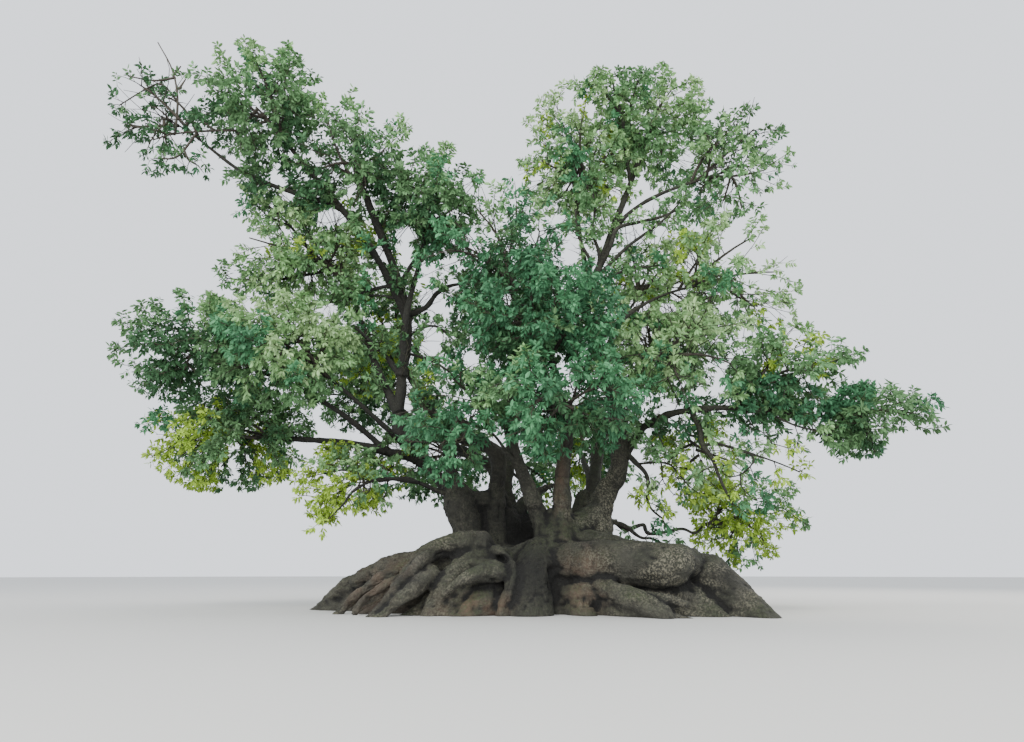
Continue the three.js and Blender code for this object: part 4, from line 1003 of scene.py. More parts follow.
def mesh_points(mesh):
    """The mesh's points as rows."""
    points = np.empty(3 * len(mesh.vertices), np.float32)
    mesh.vertices.foreach_get("co", points)
    return points.reshape(-1, 3).astype(float)


def mesh_normals(mesh):
    """The direction in which the skin faces at each point of the mesh."""
    normals = np.empty(3 * len(mesh.vertices), np.float32)
    mesh.vertex_normals.foreach_get("vector", normals)
    return normals.reshape(-1, 3).astype(float)


def spread_over_edges(mesh, values, rounds):
    """Values evened out over the mesh: each becomes the mean of its neighbours' values."""
    pairs = np.empty(2 * len(mesh.edges), np.int32)
    mesh.edges.foreach_get("vertices", pairs)
    one, other = pairs.reshape(-1, 2).T
    count = np.bincount(pairs, minlength=len(values))
    for _ in range(rounds):
        total = np.stack([
            np.bincount(one, column[other], len(values)) + np.bincount(other, column[one], len(values))
            for column in values.reshape(len(values), -1).T], axis=1)
        values = (total / np.maximum(count, 1)[:, None]).reshape(values.shape)
    return values


# Root flare and stems


def core_roots():
    """Every root of the solid: the front rows as they are, and the fan round the back."""
    rows = list(ROOTS)
    swing, far, high = BACK_ROOT_STRAY
    inner, reach, top, fall, girth, foot = BACK_ROOT
    count, first, last = BACK_ROOTS
    for turn in range(count):
        share = turn / (count - 1)
        bearing = first + (last - first) * share
        rows.append((bearing, swing * (2 * chance(turn, 1) - 1), inner,
                     reach + far * (2 * chance(turn, 2) - 1), top + high * (2 * chance(turn, 3) - 1),
                     fall, girth, foot))
    return rows


def back_ridges():
    """Lower and shorter roots between the back roots, each of its own chance size and bend."""
    count, first, last = BACK_RIDGES
    rows = []
    for turn in range(count):
        bearing = first + (last - first) * (turn + RIDGE_STRAY * chance(turn, 11)) / count
        bend = RIDGE_BEND * (chance(turn, 12) - 0.5)
        sizes = [least + more * chance(turn, 13 + place)
                 for place, (least, more) in enumerate(RIDGE_SIZES)]
        rows.append((bearing, bend, RIDGE_START, *sizes))
    return rows


def root_form(row, scale, waves=0.0):
    """A root as a ridge: its bearing swings with the square of its share, its crest falls by a
    power of it with waves on it, and its section is an upright ellipse from the crest to below
    the ground."""
    bearing, bend, inner, reach, top, fall, girth, foot = row
    share = np.linspace(0, 1, ROOT_STEPS)
    angle = np.radians(bearing + bend * share ** 2)
    distance = inner + (reach - inner) * share
    crest = top * (1 - share ** fall) * scale
    crest = crest * (1 + waves * np.sin(CREST_TURNS * share + 2 * bearing))
    wide = (girth + (foot - girth) * share ** FLARE) * scale
    wave = 1 + SWELL * np.sin(SWELL_TURNS * share + bearing)
    spots = np.stack([distance * np.cos(angle), distance * np.sin(angle), (crest - foot) / 2], axis=1)
    return closed_tube(spots, wide * wave, FORM_SIDES, second_radii=(crest + foot) / 2)


def dome_form():
    """The dome: a half ball stretched to its half width, half depth and height."""
    turn = np.linspace(0, 2 * np.pi, DOME_SIDES, endpoint=False)
    lift = np.radians(np.linspace(*DOME_LIFTS))
    ring = np.stack([np.outer(np.cos(lift), np.cos(turn)), np.outer(np.cos(lift), np.sin(turn)),
                     np.outer(np.sin(lift), np.ones(len(turn)))], axis=-1) * np.array(DOME)
    points = ring.reshape(-1, 3)
    caps = np.array([[0, 0, -DOME[2]], [0, 0, DOME[2]]])
    return np.vstack([points, caps]), tube_faces(len(lift), DOME_SIDES)


def rounded_form(rows):
    """A form along a smooth curve through its points, with its radius carried along as well."""
    rows = np.array(rows)
    shares = np.linspace(0, 1, FORM_STEPS * (len(rows) - 1) + 1)
    spots = Course(rows[:, :3]).at(shares)
    radii = np.interp(shares, np.linspace(0, 1, len(rows)), rows[:, 3])
    return closed_tube(spots, radii, FORM_SIDES)


def bough_feet():
    """The start of each bough that leaves a stem, narrowing until it dives into the bough."""
    longest, most, steps, widths = BOUGH_FOOT
    forms = []
    for name, row in BOUGHS.items():
        if row["parent"] not in STEMS:
            continue
        course = BOUGH_LINES[name][0]
        share = min(longest / course.length(), most)
        shares = np.linspace(0, share, steps)
        radii = bough_radius(name, shares) * np.linspace(*widths, steps)
        forms.append(closed_tube(course.at(shares), radii, FORM_SIDES))
    return forms


def evaluated(body):
    """The body's mesh with its modifiers at work. The body and its own mesh are removed."""
    mesh = body.data
    graph = bpy.context.evaluated_depsgraph_get()
    result = bpy.data.meshes.new_from_object(body.evaluated_get(graph))
    bpy.data.objects.remove(body)
    bpy.data.meshes.remove(mesh)
    return result


def fused(name, parts, voxel):
    """The parts fused into one skin by a voxel remesh, then smoothed."""
    mesh = fill_mesh(bpy.data.meshes.new(name), *joined(parts))
    body = bpy.data.objects.new(name, mesh)
    bpy.context.scene.collection.objects.link(body)
    remesh = body.modifiers.new("Fuse", "REMESH")
    remesh.mode = "VOXEL"
    remesh.voxel_size = voxel
    smooth = body.modifiers.new("Smooth", "SMOOTH")
    smooth.factor, smooth.iterations = SMOOTHING
    return evaluated(body)


def cut_at_ground(mesh):
    """Everything below the ground cut away, and the cut closed with one flat face."""
    work = bmesh.new()
    work.from_mesh(mesh)
    whole = work.verts[:] + work.edges[:] + work.faces[:]
    cut = bmesh.ops.bisect_plane(
        work, geom=whole, plane_co=(0, 0, 0), plane_no=(0, 0, 1), clear_inner=True)
    rim = [item for item in cut["geom_cut"] if isinstance(item, bmesh.types.BMEdge)]
    bmesh.ops.holes_fill(work, edges=rim, sides=0)
    bmesh.ops.triangulate(work, faces=[face for face in work.faces if len(face.verts) > 4])
    work.to_mesh(mesh)
    work.free()


def dimmed(points):
    """How much darker a bough is made: more to the left of the crown, as the photo shows."""
    strength, edge, width, top, height = LEFT_DARKENING
    left = np.clip((edge - points[:, 0]) / width, 0, 1)
    return strength * left * np.clip((top - points[:, 2]) / height, 0, 1)


def flare_relief(points):
    """Relief of the bark, in metres. Broad lumps, folds that run out along the roots and up the
    stems, wrinkles across them, pits and a fine grain."""
    bearing = np.arctan2(points[:, 1], points[:, 0])
    polar = np.stack([bearing, np.hypot(points[:, 0], points[:, 1]), points[:, 2]], axis=1)
    stem = np.clip((points[:, 2] - STEM_RISE[0]) / STEM_RISE[1], 0, 1)
    left = np.clip((GROOVED_SIDE[0] - points[:, 0]) / GROOVED_SIDE[1], 0, 1)
    calm = 1 - SMOOTH_ROOT_CALM * near(points, *SMOOTH_ROOT)
    lumps = layered_noise(points * LUMPS[0], 3, LUMPS[1]) - 0.5
    folds = (1 - stem) * calm * creases(polar * FOLDS[0], FOLDS[1])
    folds = folds + stem * creases(points * STEM_FOLDS[0], STEM_FOLDS[1])
    wrinkles = creases(points * WRINKLES[0], WRINKLES[1], BROAD_CREASES)
    grooves = creases(polar * GROOVES[0], GROOVES[1], BROAD_CREASES)
    pits = layered_noise(points * PITS[0], 2, PITS[1]) - 0.5
    grain = layered_noise(points * GRAIN[0], 2, GRAIN[1]) - 0.5
    return (LUMPS[2] * lumps * (1 - STEM_CALM[0] * stem) - FOLDS[2] * folds * (1 - STEM_CALM[1] * stem)
            - WRINKLES[2] * wrinkles - GROOVES[2] * left * grooves + PITS[2] * pits + GRAIN[2] * grain)


def hollow_depth(points):
    """How deep each point is pressed in: a bell of its distance to each hollow's middle."""
    depth = np.zeros(len(points))
    for middle, radius, deep in HOLLOWS:
        away = np.linalg.norm(points - np.array(middle), axis=1) / radius
        depth += deep * np.exp(-away ** 2)
    return depth


def near(points, middle, radius):
    """A bell from 1 at the middle down to 0 beyond the radius."""
    return np.exp(-(np.linalg.norm((points - np.array(middle)) / np.array(radius), axis=1)) ** 2)


def spotted(points, spots):
    """The sum of a bell for each spot, times its strength."""
    return sum(strength * near(points, middle, radius) for middle, radius, strength in spots)


def displaced(mesh):
    """Moves the flare's skin out by its relief and in by its hollows, and stores its shade: how
    far each point lies below the mean of its surroundings."""
    points, normals = mesh_points(mesh), mesh_normals(mesh)
    hold = np.clip(points[:, 2] / GROUND_HOLD, 0, 1)
    hollow = hollow_depth(points)
    moved = points + normals * ((flare_relief(points) - hollow) * hold)[:, None]
    moved[:, 2] = np.where(points[:, 2] < GROUND_TOUCH, 0, np.maximum(moved[:, 2], LOWEST))
    mesh.vertices.foreach_set("co", np.ascontiguousarray(moved, np.float32).ravel())
    mesh.update()
    near_mean = spread_over_edges(mesh, moved, EVEN_ROUNDS[0])
    far_mean = spread_over_edges(mesh, near_mean, EVEN_ROUNDS[1])
    normals = mesh_normals(mesh)
    dip = spread_over_edges(mesh, np.sum((near_mean - moved) * normals, axis=1), EVEN_ROUNDS[2])
    valley = np.sum((far_mean - moved) * normals, axis=1)
    full_dip, full_valley, full_hollow = SHADE_DEPTHS
    shade = dip / full_dip + np.clip(valley, 0, 1) / full_valley + hollow / full_hollow
    set_attribute(mesh, "shade", shade)


def patches(points, coat):
    """Where a coat breaks up: layered noise times the contrast, less the threshold, from 0 to 1."""
    scale, layers, seed, contrast, threshold = coat
    return np.clip(contrast * layered_noise(points * scale, layers, seed) - threshold, 0, 1)


def store_coats_and_shade(mesh, shade):
    """Stores where painted shade, moss, lichen and rust lie. Moss lies on what faces up, lichen and rust
    lie round their spots, and noise breaks each one up. The lichen also paints light on the stems and a
    painted highlight on crests."""
    points, normals = mesh_points(mesh), mesh_normals(mesh)
    everywhere, on_crests, edge = LICHEN
    # Crests that stand out: wear, and a painted highlight on them
    crest_wear_and_highlight = np.clip(-shade - edge, 0, 1)
    # Painted shade in creases and hollows, and at the shade spots
    shade = np.clip(shade, 0, DEEPEST_SHADE) + spotted(points, SHADE_SPOTS)
    top = np.clip(MOSS[1] + normals[:, 2], 0, 1)
    moss = MOSS[0] * top * patches(points, MOSS_PATCHES)
    # Lichen, which also paints light on the stems and a highlight on the crests
    lichen = spotted(points, LICHEN_AND_LIGHT_SPOTS) + everywhere + on_crests * crest_wear_and_highlight
    lichen = lichen * patches(points, LICHEN_PATCHES)
    rust = spotted(points, RUST_SPOTS) * patches(points, RUST_PATCHES)
    for name, values in (("shade", shade), ("moss", moss), ("lichen", lichen), ("rust", rust)):
        set_attribute(mesh, name, np.clip(values, 0, 1))


def thinned(mesh, most):
    """The mesh with its flattest faces merged until it has no more than the given number."""
    body = bpy.data.objects.new("thinned", mesh)
    bpy.context.scene.collection.objects.link(body)
    thin = body.modifiers.new("Thin", "DECIMATE")
    mesh.calc_loop_triangles()
    thin.ratio = min(most / len(mesh.loop_triangles), 1.0)
    return evaluated(body)


def make_flare(props):
    """The flare: its cores and forms fused, cut at the ground, given its relief and its coats."""
    parts = [dome_form()]
    rows = core_roots()
    parts += [root_form(row, FRONT_CORE) for row in rows[:len(ROOTS)]]
    parts += [root_form(row, 1.0, BACK_WAVES) for row in rows[len(ROOTS):] + back_ridges()]
    parts += [rounded_form(rows) for rows in FORMS.values()]
    parts += bough_feet()
    mesh = fused("root_flare", parts, props.voxel)
    cut_at_ground(mesh)
    displaced(mesh)
    mesh = thinned(mesh, FLARE_TRIANGLES)
    mesh.name = "root_flare"
    shade = np.empty(len(mesh.vertices), np.float32)
    mesh.attributes["shade"].data.foreach_get("value", shade)
    mesh.attributes.remove(mesh.attributes["shade"])
    store_coats_and_shade(mesh, shade)
    mesh.polygons.foreach_set("use_smooth", np.full(len(mesh.polygons), True))
    material = bark_material("flare bark", props)
    return add_piece("root_flare", mesh, material, ["trunk"])


# Boughs


def bough_mesh(name, props):
    """A bough and its mass's stem as one tube with a collar at its foot, and bark relief that
    moves each ring point out along its own direction."""
    course = BOUGH_LINES[name][0]
    length = course.length()
    steps = int(max(length / props.step, FEWEST_STEPS[0]))
    shares = np.linspace(0, 1, steps + 1)
    radii = bough_radius(name, shares)
    past = shares * length
    if BOUGHS[name]["parent"] in STEMS:
        radii = radii * np.interp(past, *STEM_FOOT)
    else:
        radii = radii * (1 + COLLAR[0] * np.exp(-past / (COLLAR[1] * radii[0])))
    if name in SLIM:
        first, part = SLIM[name]
        radii = radii * np.interp(shares, [first, first + SLIM_START], [1, part])
    spots = course.at(shares)
    if name in GNARLED:
        thinner, wander = GNARLED[name]
        radii = radii * np.interp(past, [0, GNARLED_START], [1, thinner])
        scale, seed, start = WANDER
        drift = np.stack([noise(spots * scale, seed + axis) - 0.5 for axis in range(3)], axis=1)
        spots = spots + 2 * wander * drift * np.minimum(past / start, 1)[:, None]
    ripple = RIPPLE[0] * np.sin(past * RIPPLE[1] + len(name))
    knots = KNOTS[0] * (noise(spots * KNOTS[1], KNOTS[2]) - 0.5)
    radii = radii * (1 + ripple + knots)
    points, faces = closed_tube(spots, radii, props.sides, round_ends=False)
    centres = np.repeat(spots, props.sides, axis=0)
    around = points[:-2]
    away = unit(around - centres)
    girth = np.repeat(radii, props.sides)
    grain = layered_noise(around * BOUGH_GRAIN[0], 3, BOUGH_GRAIN[1]) - 0.5
    furrow = creases(around * BOUGH_FURROWS[0], BOUGH_FURROWS[1], BROAD_CREASES)
    relief = girth * (BOUGH_GRAIN[2] * grain - BOUGH_FURROWS[2] * furrow)
    points[:-2] = around + away * relief[:, None]
    return points, faces


def make_boughs(props):
    """All boughs as one piece, with painted shade on their undersides, and darker to the left."""
    points, faces = joined([bough_mesh(name, props) for name in BOUGHS])
    mesh = fill_mesh(bpy.data.meshes.new("boughs"), points, faces)
    # Painted shade on the boughs' undersides
    under = np.clip(-mesh_normals(mesh)[:, 2], 0, 1)
    shade = BOUGH_SHADE[0] + BOUGH_SHADE[1] * under + dimmed(points)
    store_coats_and_shade(mesh, shade)
    return add_piece("boughs", mesh, bark_material("bough bark", props),
                     [f"bough_{name}" for name in BOUGHS])


def make_branches(props):
    """Crooked branches as tubes that taper evenly, with knots where noise widens them."""
    least, more, scale, seed = BRANCH_KNOTS
    parts = []
    for name, (_, girth, _, _) in BRANCHES.items():
        course = BRANCH_LINES[name]
        steps = int(max(course.length() / props.step, FEWEST_STEPS[1]))
        shares = np.linspace(0, 1, steps + 1)
        spots = course.at(shares)
        radii = girth * (1 + (BRANCH_TIP - 1) * shares) * (least + more * noise(spots * scale, seed))
        parts.append(closed_tube(spots, radii, props.sides // 2, round_ends=False))
    points, faces = joined(parts)
    mesh = fill_mesh(bpy.data.meshes.new("branches"), points, faces)
    store_coats_and_shade(mesh, BRANCH_SHADE + dimmed(points))
    nodes = sorted({f"bough_{parent}" for parent, _, _, _ in BRANCHES.values() if parent in BOUGHS})
    return add_piece("branches", mesh, bark_material("branch bark", props), nodes)


# Crown


def even_directions(count, seed):
    """Even directions over a ball: each turns on by the golden angle as the height steps down."""
    turn = np.arange(count)
    height = 1 - (2 * turn + 1) / count
    angle = GOLDEN_ANGLE * turn + 2 * np.pi * chance(seed, 3)
    flat = np.sqrt(1 - height ** 2)
    return np.stack([flat * np.cos(angle), flat * np.sin(angle), height], axis=1)


def side_frames(ways):
    """Two directions square to each way."""
    helper = np.where(np.abs(ways[:, 2:3]) < STEEP_WAY, UP, ASIDE)
    across = unit(np.cross(ways, helper))
    return across, np.cross(ways, across)


def along_bend(starts, bends, ends, shares):
    """Points and directions on quadratic curves from start to end, pulled towards bend."""
    share = shares[..., None]
    spots = (1 - share) ** 2 * starts + 2 * share * (1 - share) * bends + share ** 2 * ends
    ways = unit(2 * (1 - share) * (bends - starts) + 2 * share * (ends - bends))
    return spots, ways


def ringed(ways, turns):
    """Each way's side direction at an angle round it."""
    across, aside = side_frames(ways)
    return np.cos(turns)[:, None] * across + np.sin(turns)[:, None] * aside


def grow_limbs(name, seed, cell, dice):
    """Limbs run from the mass's stem to even directions over its space. Each fills a chance share
    of the room that way, and its middle rises and sways by a share of its length."""
    course, end, _, _ = BOUGH_LINES[name]
    count = int(round(LIMBS * (cell.size / LIMB_ROOM) ** 2))
    turn = np.arange(count)
    shares = LIMB["deepest"] + (1 - LIMB["deepest"]) * (turn + 0.5) / count
    starts = course.at(end + (1 - end) * shares)
    sides = unit(even_directions(count, seed) * cell.reach)
    middle = np.repeat(cell.middle[None], count, axis=0)
    reach = cell.room(middle, sides) * LIMB["reach"] * dice.uniform(*LIMB["stray"], count)
    ends = middle + sides * reach[:, None]
    length = np.linalg.norm(ends - starts, axis=1, keepdims=True)
    sway = LIMB["sway"] * length * dice.normal(size=(count, 3))
    bends = (starts + ends) / 2 + LIMB["rise"] * length * UP + sway
    return starts, bends, ends


def grow_twigs(parents, cell, dice):
    """Twigs leave each limb one golden angle apart. A twig's way is the sum of the limb's own, its
    side, outwards, up and chance, each by its pull, and its length a chance share of the mass's."""
    starts, bends, ends = (np.repeat(spots, TWIGS, axis=0) for spots in parents)
    count = len(starts)
    place = np.tile(np.arange(TWIGS), count // TWIGS)
    first, rest, offset = TWIG["places"]
    shares = first + rest * (place + offset) / TWIGS
    feet, along = along_bend(starts, bends, ends, shares)
    turns = GOLDEN_ANGLE * place + dice.uniform(0, FULL_TURN, count // TWIGS).repeat(TWIGS)
    outward = unit((feet - cell.middle) / cell.reach)
    ahead, ring, out, up, stray = TWIG["pull"]
    ways = unit(ahead * along + ring * ringed(along, turns) + out * outward + up * UP
                + stray * dice.normal(size=(count, 3)))
    room = cell.room(feet, ways)
    length = TWIG["length"] * cell.size * dice.uniform(*TWIG["stray"], count)
    length = np.minimum(WALL * room, length)
    tips = feet + ways * length[:, None]
    sway = TWIG["sway"] * dice.normal(size=(count, 3)) + TWIG["rise"] * UP
    return feet, (feet + tips) / 2 + sway * length[:, None], tips


def grow_shoots(parents, cell, dice, count_each):
    """Shoots leave each twig one golden angle apart. A shoot's way is the sum of the twig's own,
    its side, up and chance, each by its pull, and its length a chance share of the longest."""
    starts, bends, ends = (np.repeat(spots, count_each, axis=0) for spots in parents)
    count = len(starts)
    place = np.tile(np.arange(count_each), count // count_each)
    first, rest, offset = SHOOT["places"]
    shares = first + rest * (place + offset) / count_each
    feet, along = along_bend(starts, bends, ends, np.minimum(shares, 1))
    first_turns = dice.uniform(0, FULL_TURN, count // count_each)
    turns = GOLDEN_ANGLE * place + first_turns.repeat(count_each)
    ahead, ring, up, stray = SHOOT["pull"]
    ways = unit(ahead * along + ring * ringed(along, turns) + up * UP
                + stray * dice.normal(size=(count, 3)))
    room = cell.room(feet, ways)
    length = np.minimum(WALL * room, SHOOT["length"] * dice.uniform(*SHOOT["stray"], count))
    return feet, ways, length


def grow_leaves(feet, ways, length, cell, dice, props):
    """Leaves ring each shoot one golden angle apart. A leaf leans along the shoot the more, the
    nearer it stands to the end, and droops by chance. One whose tip would leave the space or that
    would hide an opening is skipped."""
    count = len(feet)
    owner = np.repeat(np.arange(count), LEAVES)
    place = np.tile(np.arange(LEAVES), count)
    first, rest = LEAF["places"]
    share = first + rest * (place + 1) / LEAVES
    roots = feet[owner] + ways[owner] * (length[owner] * share)[:, None]
    turns = GOLDEN_ANGLE * place + dice.uniform(0, FULL_TURN, count)[owner]
    ring = ringed(ways[owner], turns)
    lean = LEAF["lean"][0] + LEAF["lean"][1] * share
    droop = dice.uniform(*LEAF["droop"], len(owner))
    along = unit(ring + lean[:, None] * ways[owner] - droop[:, None] * UP)
    size = props.length * dice.uniform(*LEAF["stray"], len(owner))
    tips = roots + along * size[:, None]
    keep = cell.holds(tips, -LEAF_OVERLAP) & off_openings((roots + tips) / 2)
    up, out, stray = LEAF["face"]
    face = unit(up * UP + out * ring + stray * dice.normal(size=ring.shape))
    return roots[keep], along[keep], face[keep], size[keep], owner[keep]


def outside_notches(points):
    """True for points outside every notch of the crown."""
    return np.all([np.linalg.norm((points - np.array(middle)) / np.array(radius), axis=1) > 1
                   for middle, radius in NOTCHES], axis=0)


def in_picture(points):
    """Where points stand in the photo: its middle plus the lens times each step aside or down
    over the depth, seen from the camera's place and tilt."""
    way = points - np.array(PHOTO_EYE)
    turned, raised = math.cos(PHOTO_TILT), math.sin(PHOTO_TILT)
    depth = way[:, 1] * turned + way[:, 2] * raised
    rise = way[:, 2] * turned - way[:, 1] * raised
    return np.stack([PHOTO_MIDDLE[0] + PHOTO_LENS * way[:, 0] / depth,
                     PHOTO_MIDDLE[1] - PHOTO_LENS * rise / depth], axis=1)


def off_openings(points):
    """True for points that hide none of the photo's openings, whose rims noise makes ragged."""
    spots = in_picture(points)
    flat = np.column_stack([spots, np.zeros(len(spots))])
    ragged, scale, seed = OPENING_RIM
    rim = 1 + ragged * (noise(flat * scale, seed) - 0.5)
    rows = np.array(OPENINGS, float)
    away = np.linalg.norm((spots[:, None] - rows[:, :2]) / rows[:, 2:], axis=2).min(axis=1)
    return away > rim


def in_patches(share, points, seed, dice):
    """True for a share of the points, those where smooth noise is lowest, so they lie together."""
    value = noise(points * PATCH, seed) + PATCH_BLUR * dice.uniform(0, 1, len(points))
    return value < np.quantile(value, share)


def spray_tones(name, light, points, dice):
    """A tone for each spray, in patches: blue green or warm green, darker to lighter by its light,
    or yellow green where the light shines through."""
    seed, strength = TONE_NOISE
    step = np.digitize(light + strength * (noise(points * PATCH, seed) - 0.5), TONE_EDGES)
    cool = in_patches(COOL.get(name, COOL_REST), points, COOL_SEED, dice)
    tone = np.where(cool, COOL_TONES[step], WARM_TONES[step])
    sunlit = in_patches(SUNLIT.get(name, 0.0), points, SUNLIT_SEED, dice)
    return np.where(sunlit, YELLOW_TONE, tone)


def grow_mass(name, seed, props):
    """One mass from its stem to its leaves, with a tone for each spray."""
    cell = Cell(name)
    dice = np.random.default_rng(MASS_SEED + seed)
    limbs = grow_limbs(name, seed, cell, dice)
    twigs = grow_twigs(limbs, cell, dice)
    clear = outside_notches(twigs[2])
    twigs = tuple(spots[clear] for spots in twigs)
    feet, ways, length = grow_shoots(twigs, cell, dice, SHOOTS)
    spray = np.repeat(np.arange(len(twigs[0])), SHOOTS)
    keep = (length > SHOOT["least"]) & (dice.uniform(0, 1, len(feet)) < THIN.get(name, KEPT))
    keep &= off_openings(feet + ways * length[:, None])
    feet, ways, length, spray = feet[keep], ways[keep], length[keep], spray[keep]
    leaves = grow_leaves(feet, ways, length, cell, dice, props)
    height = (twigs[2][:, 2] - cell.middle[2]) / cell.reach[2]
    out = np.linalg.norm((twigs[2] - cell.middle) / cell.reach, axis=1)
    base, by_height, by_distance, middle, stray = MASS_LIGHT
    light = base + by_height * height + by_distance * (out - middle) + stray * dice.normal(size=len(height))
    light += BRIGHT.get(name, 0.0) - spotted(twigs[2], DEEP_SPOTS)
    tones = spray_tones(name, light, twigs[2], dice)
    return dict(limbs=limbs, twigs=twigs, shoots=(feet, feet + ways * length[:, None]),
                leaves=leaves, tones=tones[spray[leaves[4]]])


def grow_along(name, course, shares, reach, shoots, seed, props):
    """Leafy twigs that leave a bare bough or branch one golden angle apart, each along the bough
    a little, to its side and by chance."""
    dice = np.random.default_rng(TWIG_SEED + seed)
    count = len(shares)
    feet = course.at(shares)
    along = unit(course.at(shares + SPRAY["step"]) - course.at(shares - SPRAY["step"]))
    turns = GOLDEN_ANGLE * np.arange(count) + seed
    ahead, stray = SPRAY["pull"]
    ways = unit(ahead * along + ringed(along, turns) + stray * dice.normal(size=(count, 3)))
    tips = feet + ways * (reach * dice.uniform(*SPRAY["stray"], count))[:, None]
    bends = (feet + tips) / 2 + SPRAY["sway"] * reach * dice.normal(size=(count, 3))
    twigs = (feet, bends, tips)
    space = Outdoors()
    starts, ways, length = grow_shoots(twigs, space, dice, shoots)
    leaves = grow_leaves(starts, ways, length, space, dice, props)
    light = SPRAY_LIGHT[0] + SPRAY_LIGHT[1] * dice.normal(size=count) + BRIGHT.get(name, 0.0)
    tones = spray_tones(name, light, tips, dice)
    spray = np.repeat(np.arange(count), shoots)
    return dict(twigs=twigs, shoots=(starts, starts + ways * length[:, None]), leaves=leaves,
                tones=tones[spray[leaves[4]]])


def repeated(points, faces):
    """The same triangles on each of many sets of points, as one pair of points and triangles."""
    shift = points.shape[1] * np.arange(len(points))[:, None, None]
    return points.reshape(-1, 3), (faces[None] + shift).reshape(-1, 3)


def many_tubes(starts, bends, ends, foot, tip, steps, sides):
    """Many bent tubes at once, each closed to a point at both ends: rings along a quadratic
    curve whose radius falls evenly from foot to tip."""
    count = len(starts)
    shares = np.linspace(0, 1, steps + 1)
    spots, _ = along_bend(starts[:, None], bends[:, None], ends[:, None],
                          np.repeat(shares[None], count, axis=0))
    across, aside = side_frames(unit(ends - starts))
    angle = np.linspace(0, 2 * np.pi, sides, endpoint=False)
    radius = (foot + (tip - foot) * shares)[None, :, None, None]
    ring = np.cos(angle)[:, None] * across[:, None, None] + np.sin(angle)[:, None] * aside[:, None, None]
    rings = (spots[:, :, None] + radius * ring).reshape(count, -1, 3)
    closing = ends[:, None] + (ends - bends)[:, None] * POINT
    points = np.concatenate([rings, spots[:, :1], closing], axis=1)
    return repeated(points, tube_faces(steps + 1, sides))


def spikes(starts, ends, foot):
    """Thin shoots: three corners round the foot and one point at the end."""
    across, aside = side_frames(unit(ends - starts))
    angle = np.radians(SHOOT_CORNERS)
    ring = (starts[:, None] + foot * (np.cos(angle)[None, :, None] * across[:, None]
                                      + np.sin(angle)[None, :, None] * aside[:, None]))
    points = np.concatenate([ring, ends[:, None]], axis=1)
    return repeated(points, np.array([[0, 1, 3], [1, 2, 3], [2, 0, 3], [0, 2, 1]]))


def leaf_blades(roots, along, face, size, props):
    """Leaves as two blades folded along the midrib: root, two points a side and tip."""
    across = unit(np.cross(along, face))
    normal = np.cross(across, along)
    half = 0.5 * props.width * size[:, None]
    lift = props.fold * half
    long = along * size[:, None]

    def spot(share, side):
        return roots + share * long + side * half * across + abs(side) * lift * normal

    (low, low_half), (high, high_half) = BLADE
    points = np.stack([roots, spot(low, low_half), spot(high, high_half), roots + long,
                       spot(high, -high_half), spot(low, -low_half)], axis=1)
    return repeated(points, np.array([[0, 1, 2], [0, 2, 3], [0, 3, 4], [0, 4, 5]]))


CROWN = []
FOLIAGE = [f"foliage_{name}" for name in BOUGHS]


def grown_crown(props):
    """Every mass, then the leafy twigs on the boughs and on the crooked branches, grown once."""
    if not CROWN:
        for seed, name in enumerate(BOUGHS):
            CROWN.append(grow_mass(name, seed, props))
        for seed, (name, (first, last, count, reach)) in enumerate(SPRAYED.items()):
            shares = np.linspace(first, last, count)
            course = BOUGH_LINES[name][0]
            CROWN.append(grow_along(name, course, shares, reach, SPRAY_SHOOTS, seed, props))
        for seed, (name, (_, _, count, _)) in enumerate(BRANCHES.items()):
            shares = np.linspace(*BRANCH_LEAFY, count)
            CROWN.append(grow_along(name, BRANCH_LINES[name], shares, BRANCH_TWIG, BRANCH_SHOOTS,
                                    BRANCH_SEED + seed, props))
        rows = [*CLUSTERS.items(), ("end", END_CLUSTER)]
        for seed, (name, (first, last, count, reach)) in enumerate(rows):
            shares = np.linspace(first, last, count)
            CROWN.append(grow_along("tip_left", Course(BARE_TWIGS[name]), shares, reach,
                                    CLUSTER_SHOOTS, CLUSTER_SEED + seed, props))
    return CROWN


def make_twigs(props):
    """Limbs, twigs and shoots of the whole crown, and the bare twigs at its left tip."""
    crown = grown_crown(props)
    parts = []
    for kind, row in (("limbs", LIMB), ("twigs", TWIG)):
        parts += [many_tubes(*mass[kind], row["foot"], row["tip"], row["steps"], row["sides"])
                  for mass in crown if kind in mass]
    mesh = fill_mesh(bpy.data.meshes.new("twigs"), *joined(parts))
    material = plain_bark_material("twig bark", props.twig)
    add_piece("twigs", mesh, material, FOLIAGE)
    parts = [spikes(*mass["shoots"], SHOOT["foot"]) for mass in crown]
    shoots = fill_mesh(bpy.data.meshes.new("shoots"), *joined(parts), smooth=False)
    add_piece("shoots", shoots, plain_bark_material("shoot bark", props.shoot), FOLIAGE)
    lines = []
    for points in BARE_TWIGS.values():
        course = Course(points)
        spots = course.at(np.linspace(0, 1, BARE_STEPS))
        radii = np.linspace(*BARE_TWIG, BARE_STEPS)
        lines.append(closed_tube(spots, radii, BARE_SIDES, round_ends=False))
    bare = fill_mesh(bpy.data.meshes.new("bare_twigs"), *joined(lines))
    add_piece("bare_twigs", bare, material, ["foliage_tip_left"])


def make_leaves(props):
    """All leaves, in one piece for each tone."""
    crown = grown_crown(props)
    columns = [np.concatenate([mass["leaves"][index] for mass in crown]) for index in range(4)]
    tones = np.concatenate([mass["tones"] for mass in crown])
    for index, tone in enumerate(LEAF_TONES):
        chosen = tones == index
        blades = leaf_blades(*(column[chosen] for column in columns), props)
        mesh = fill_mesh(bpy.data.meshes.new(f"leaves_{tone}"), *blades, smooth=False)
        add_piece(f"leaves_{tone}", mesh, leaf_material(tone), FOLIAGE)


# Materials


def new_material(name):
    """A node material, its tree and its shader."""
    material = bpy.data.materials.new(name)
    material.use_nodes = True
    tree = material.node_tree
    shader = next(node for node in tree.nodes if node.type == "BSDF_PRINCIPLED")
    return material, tree, shader


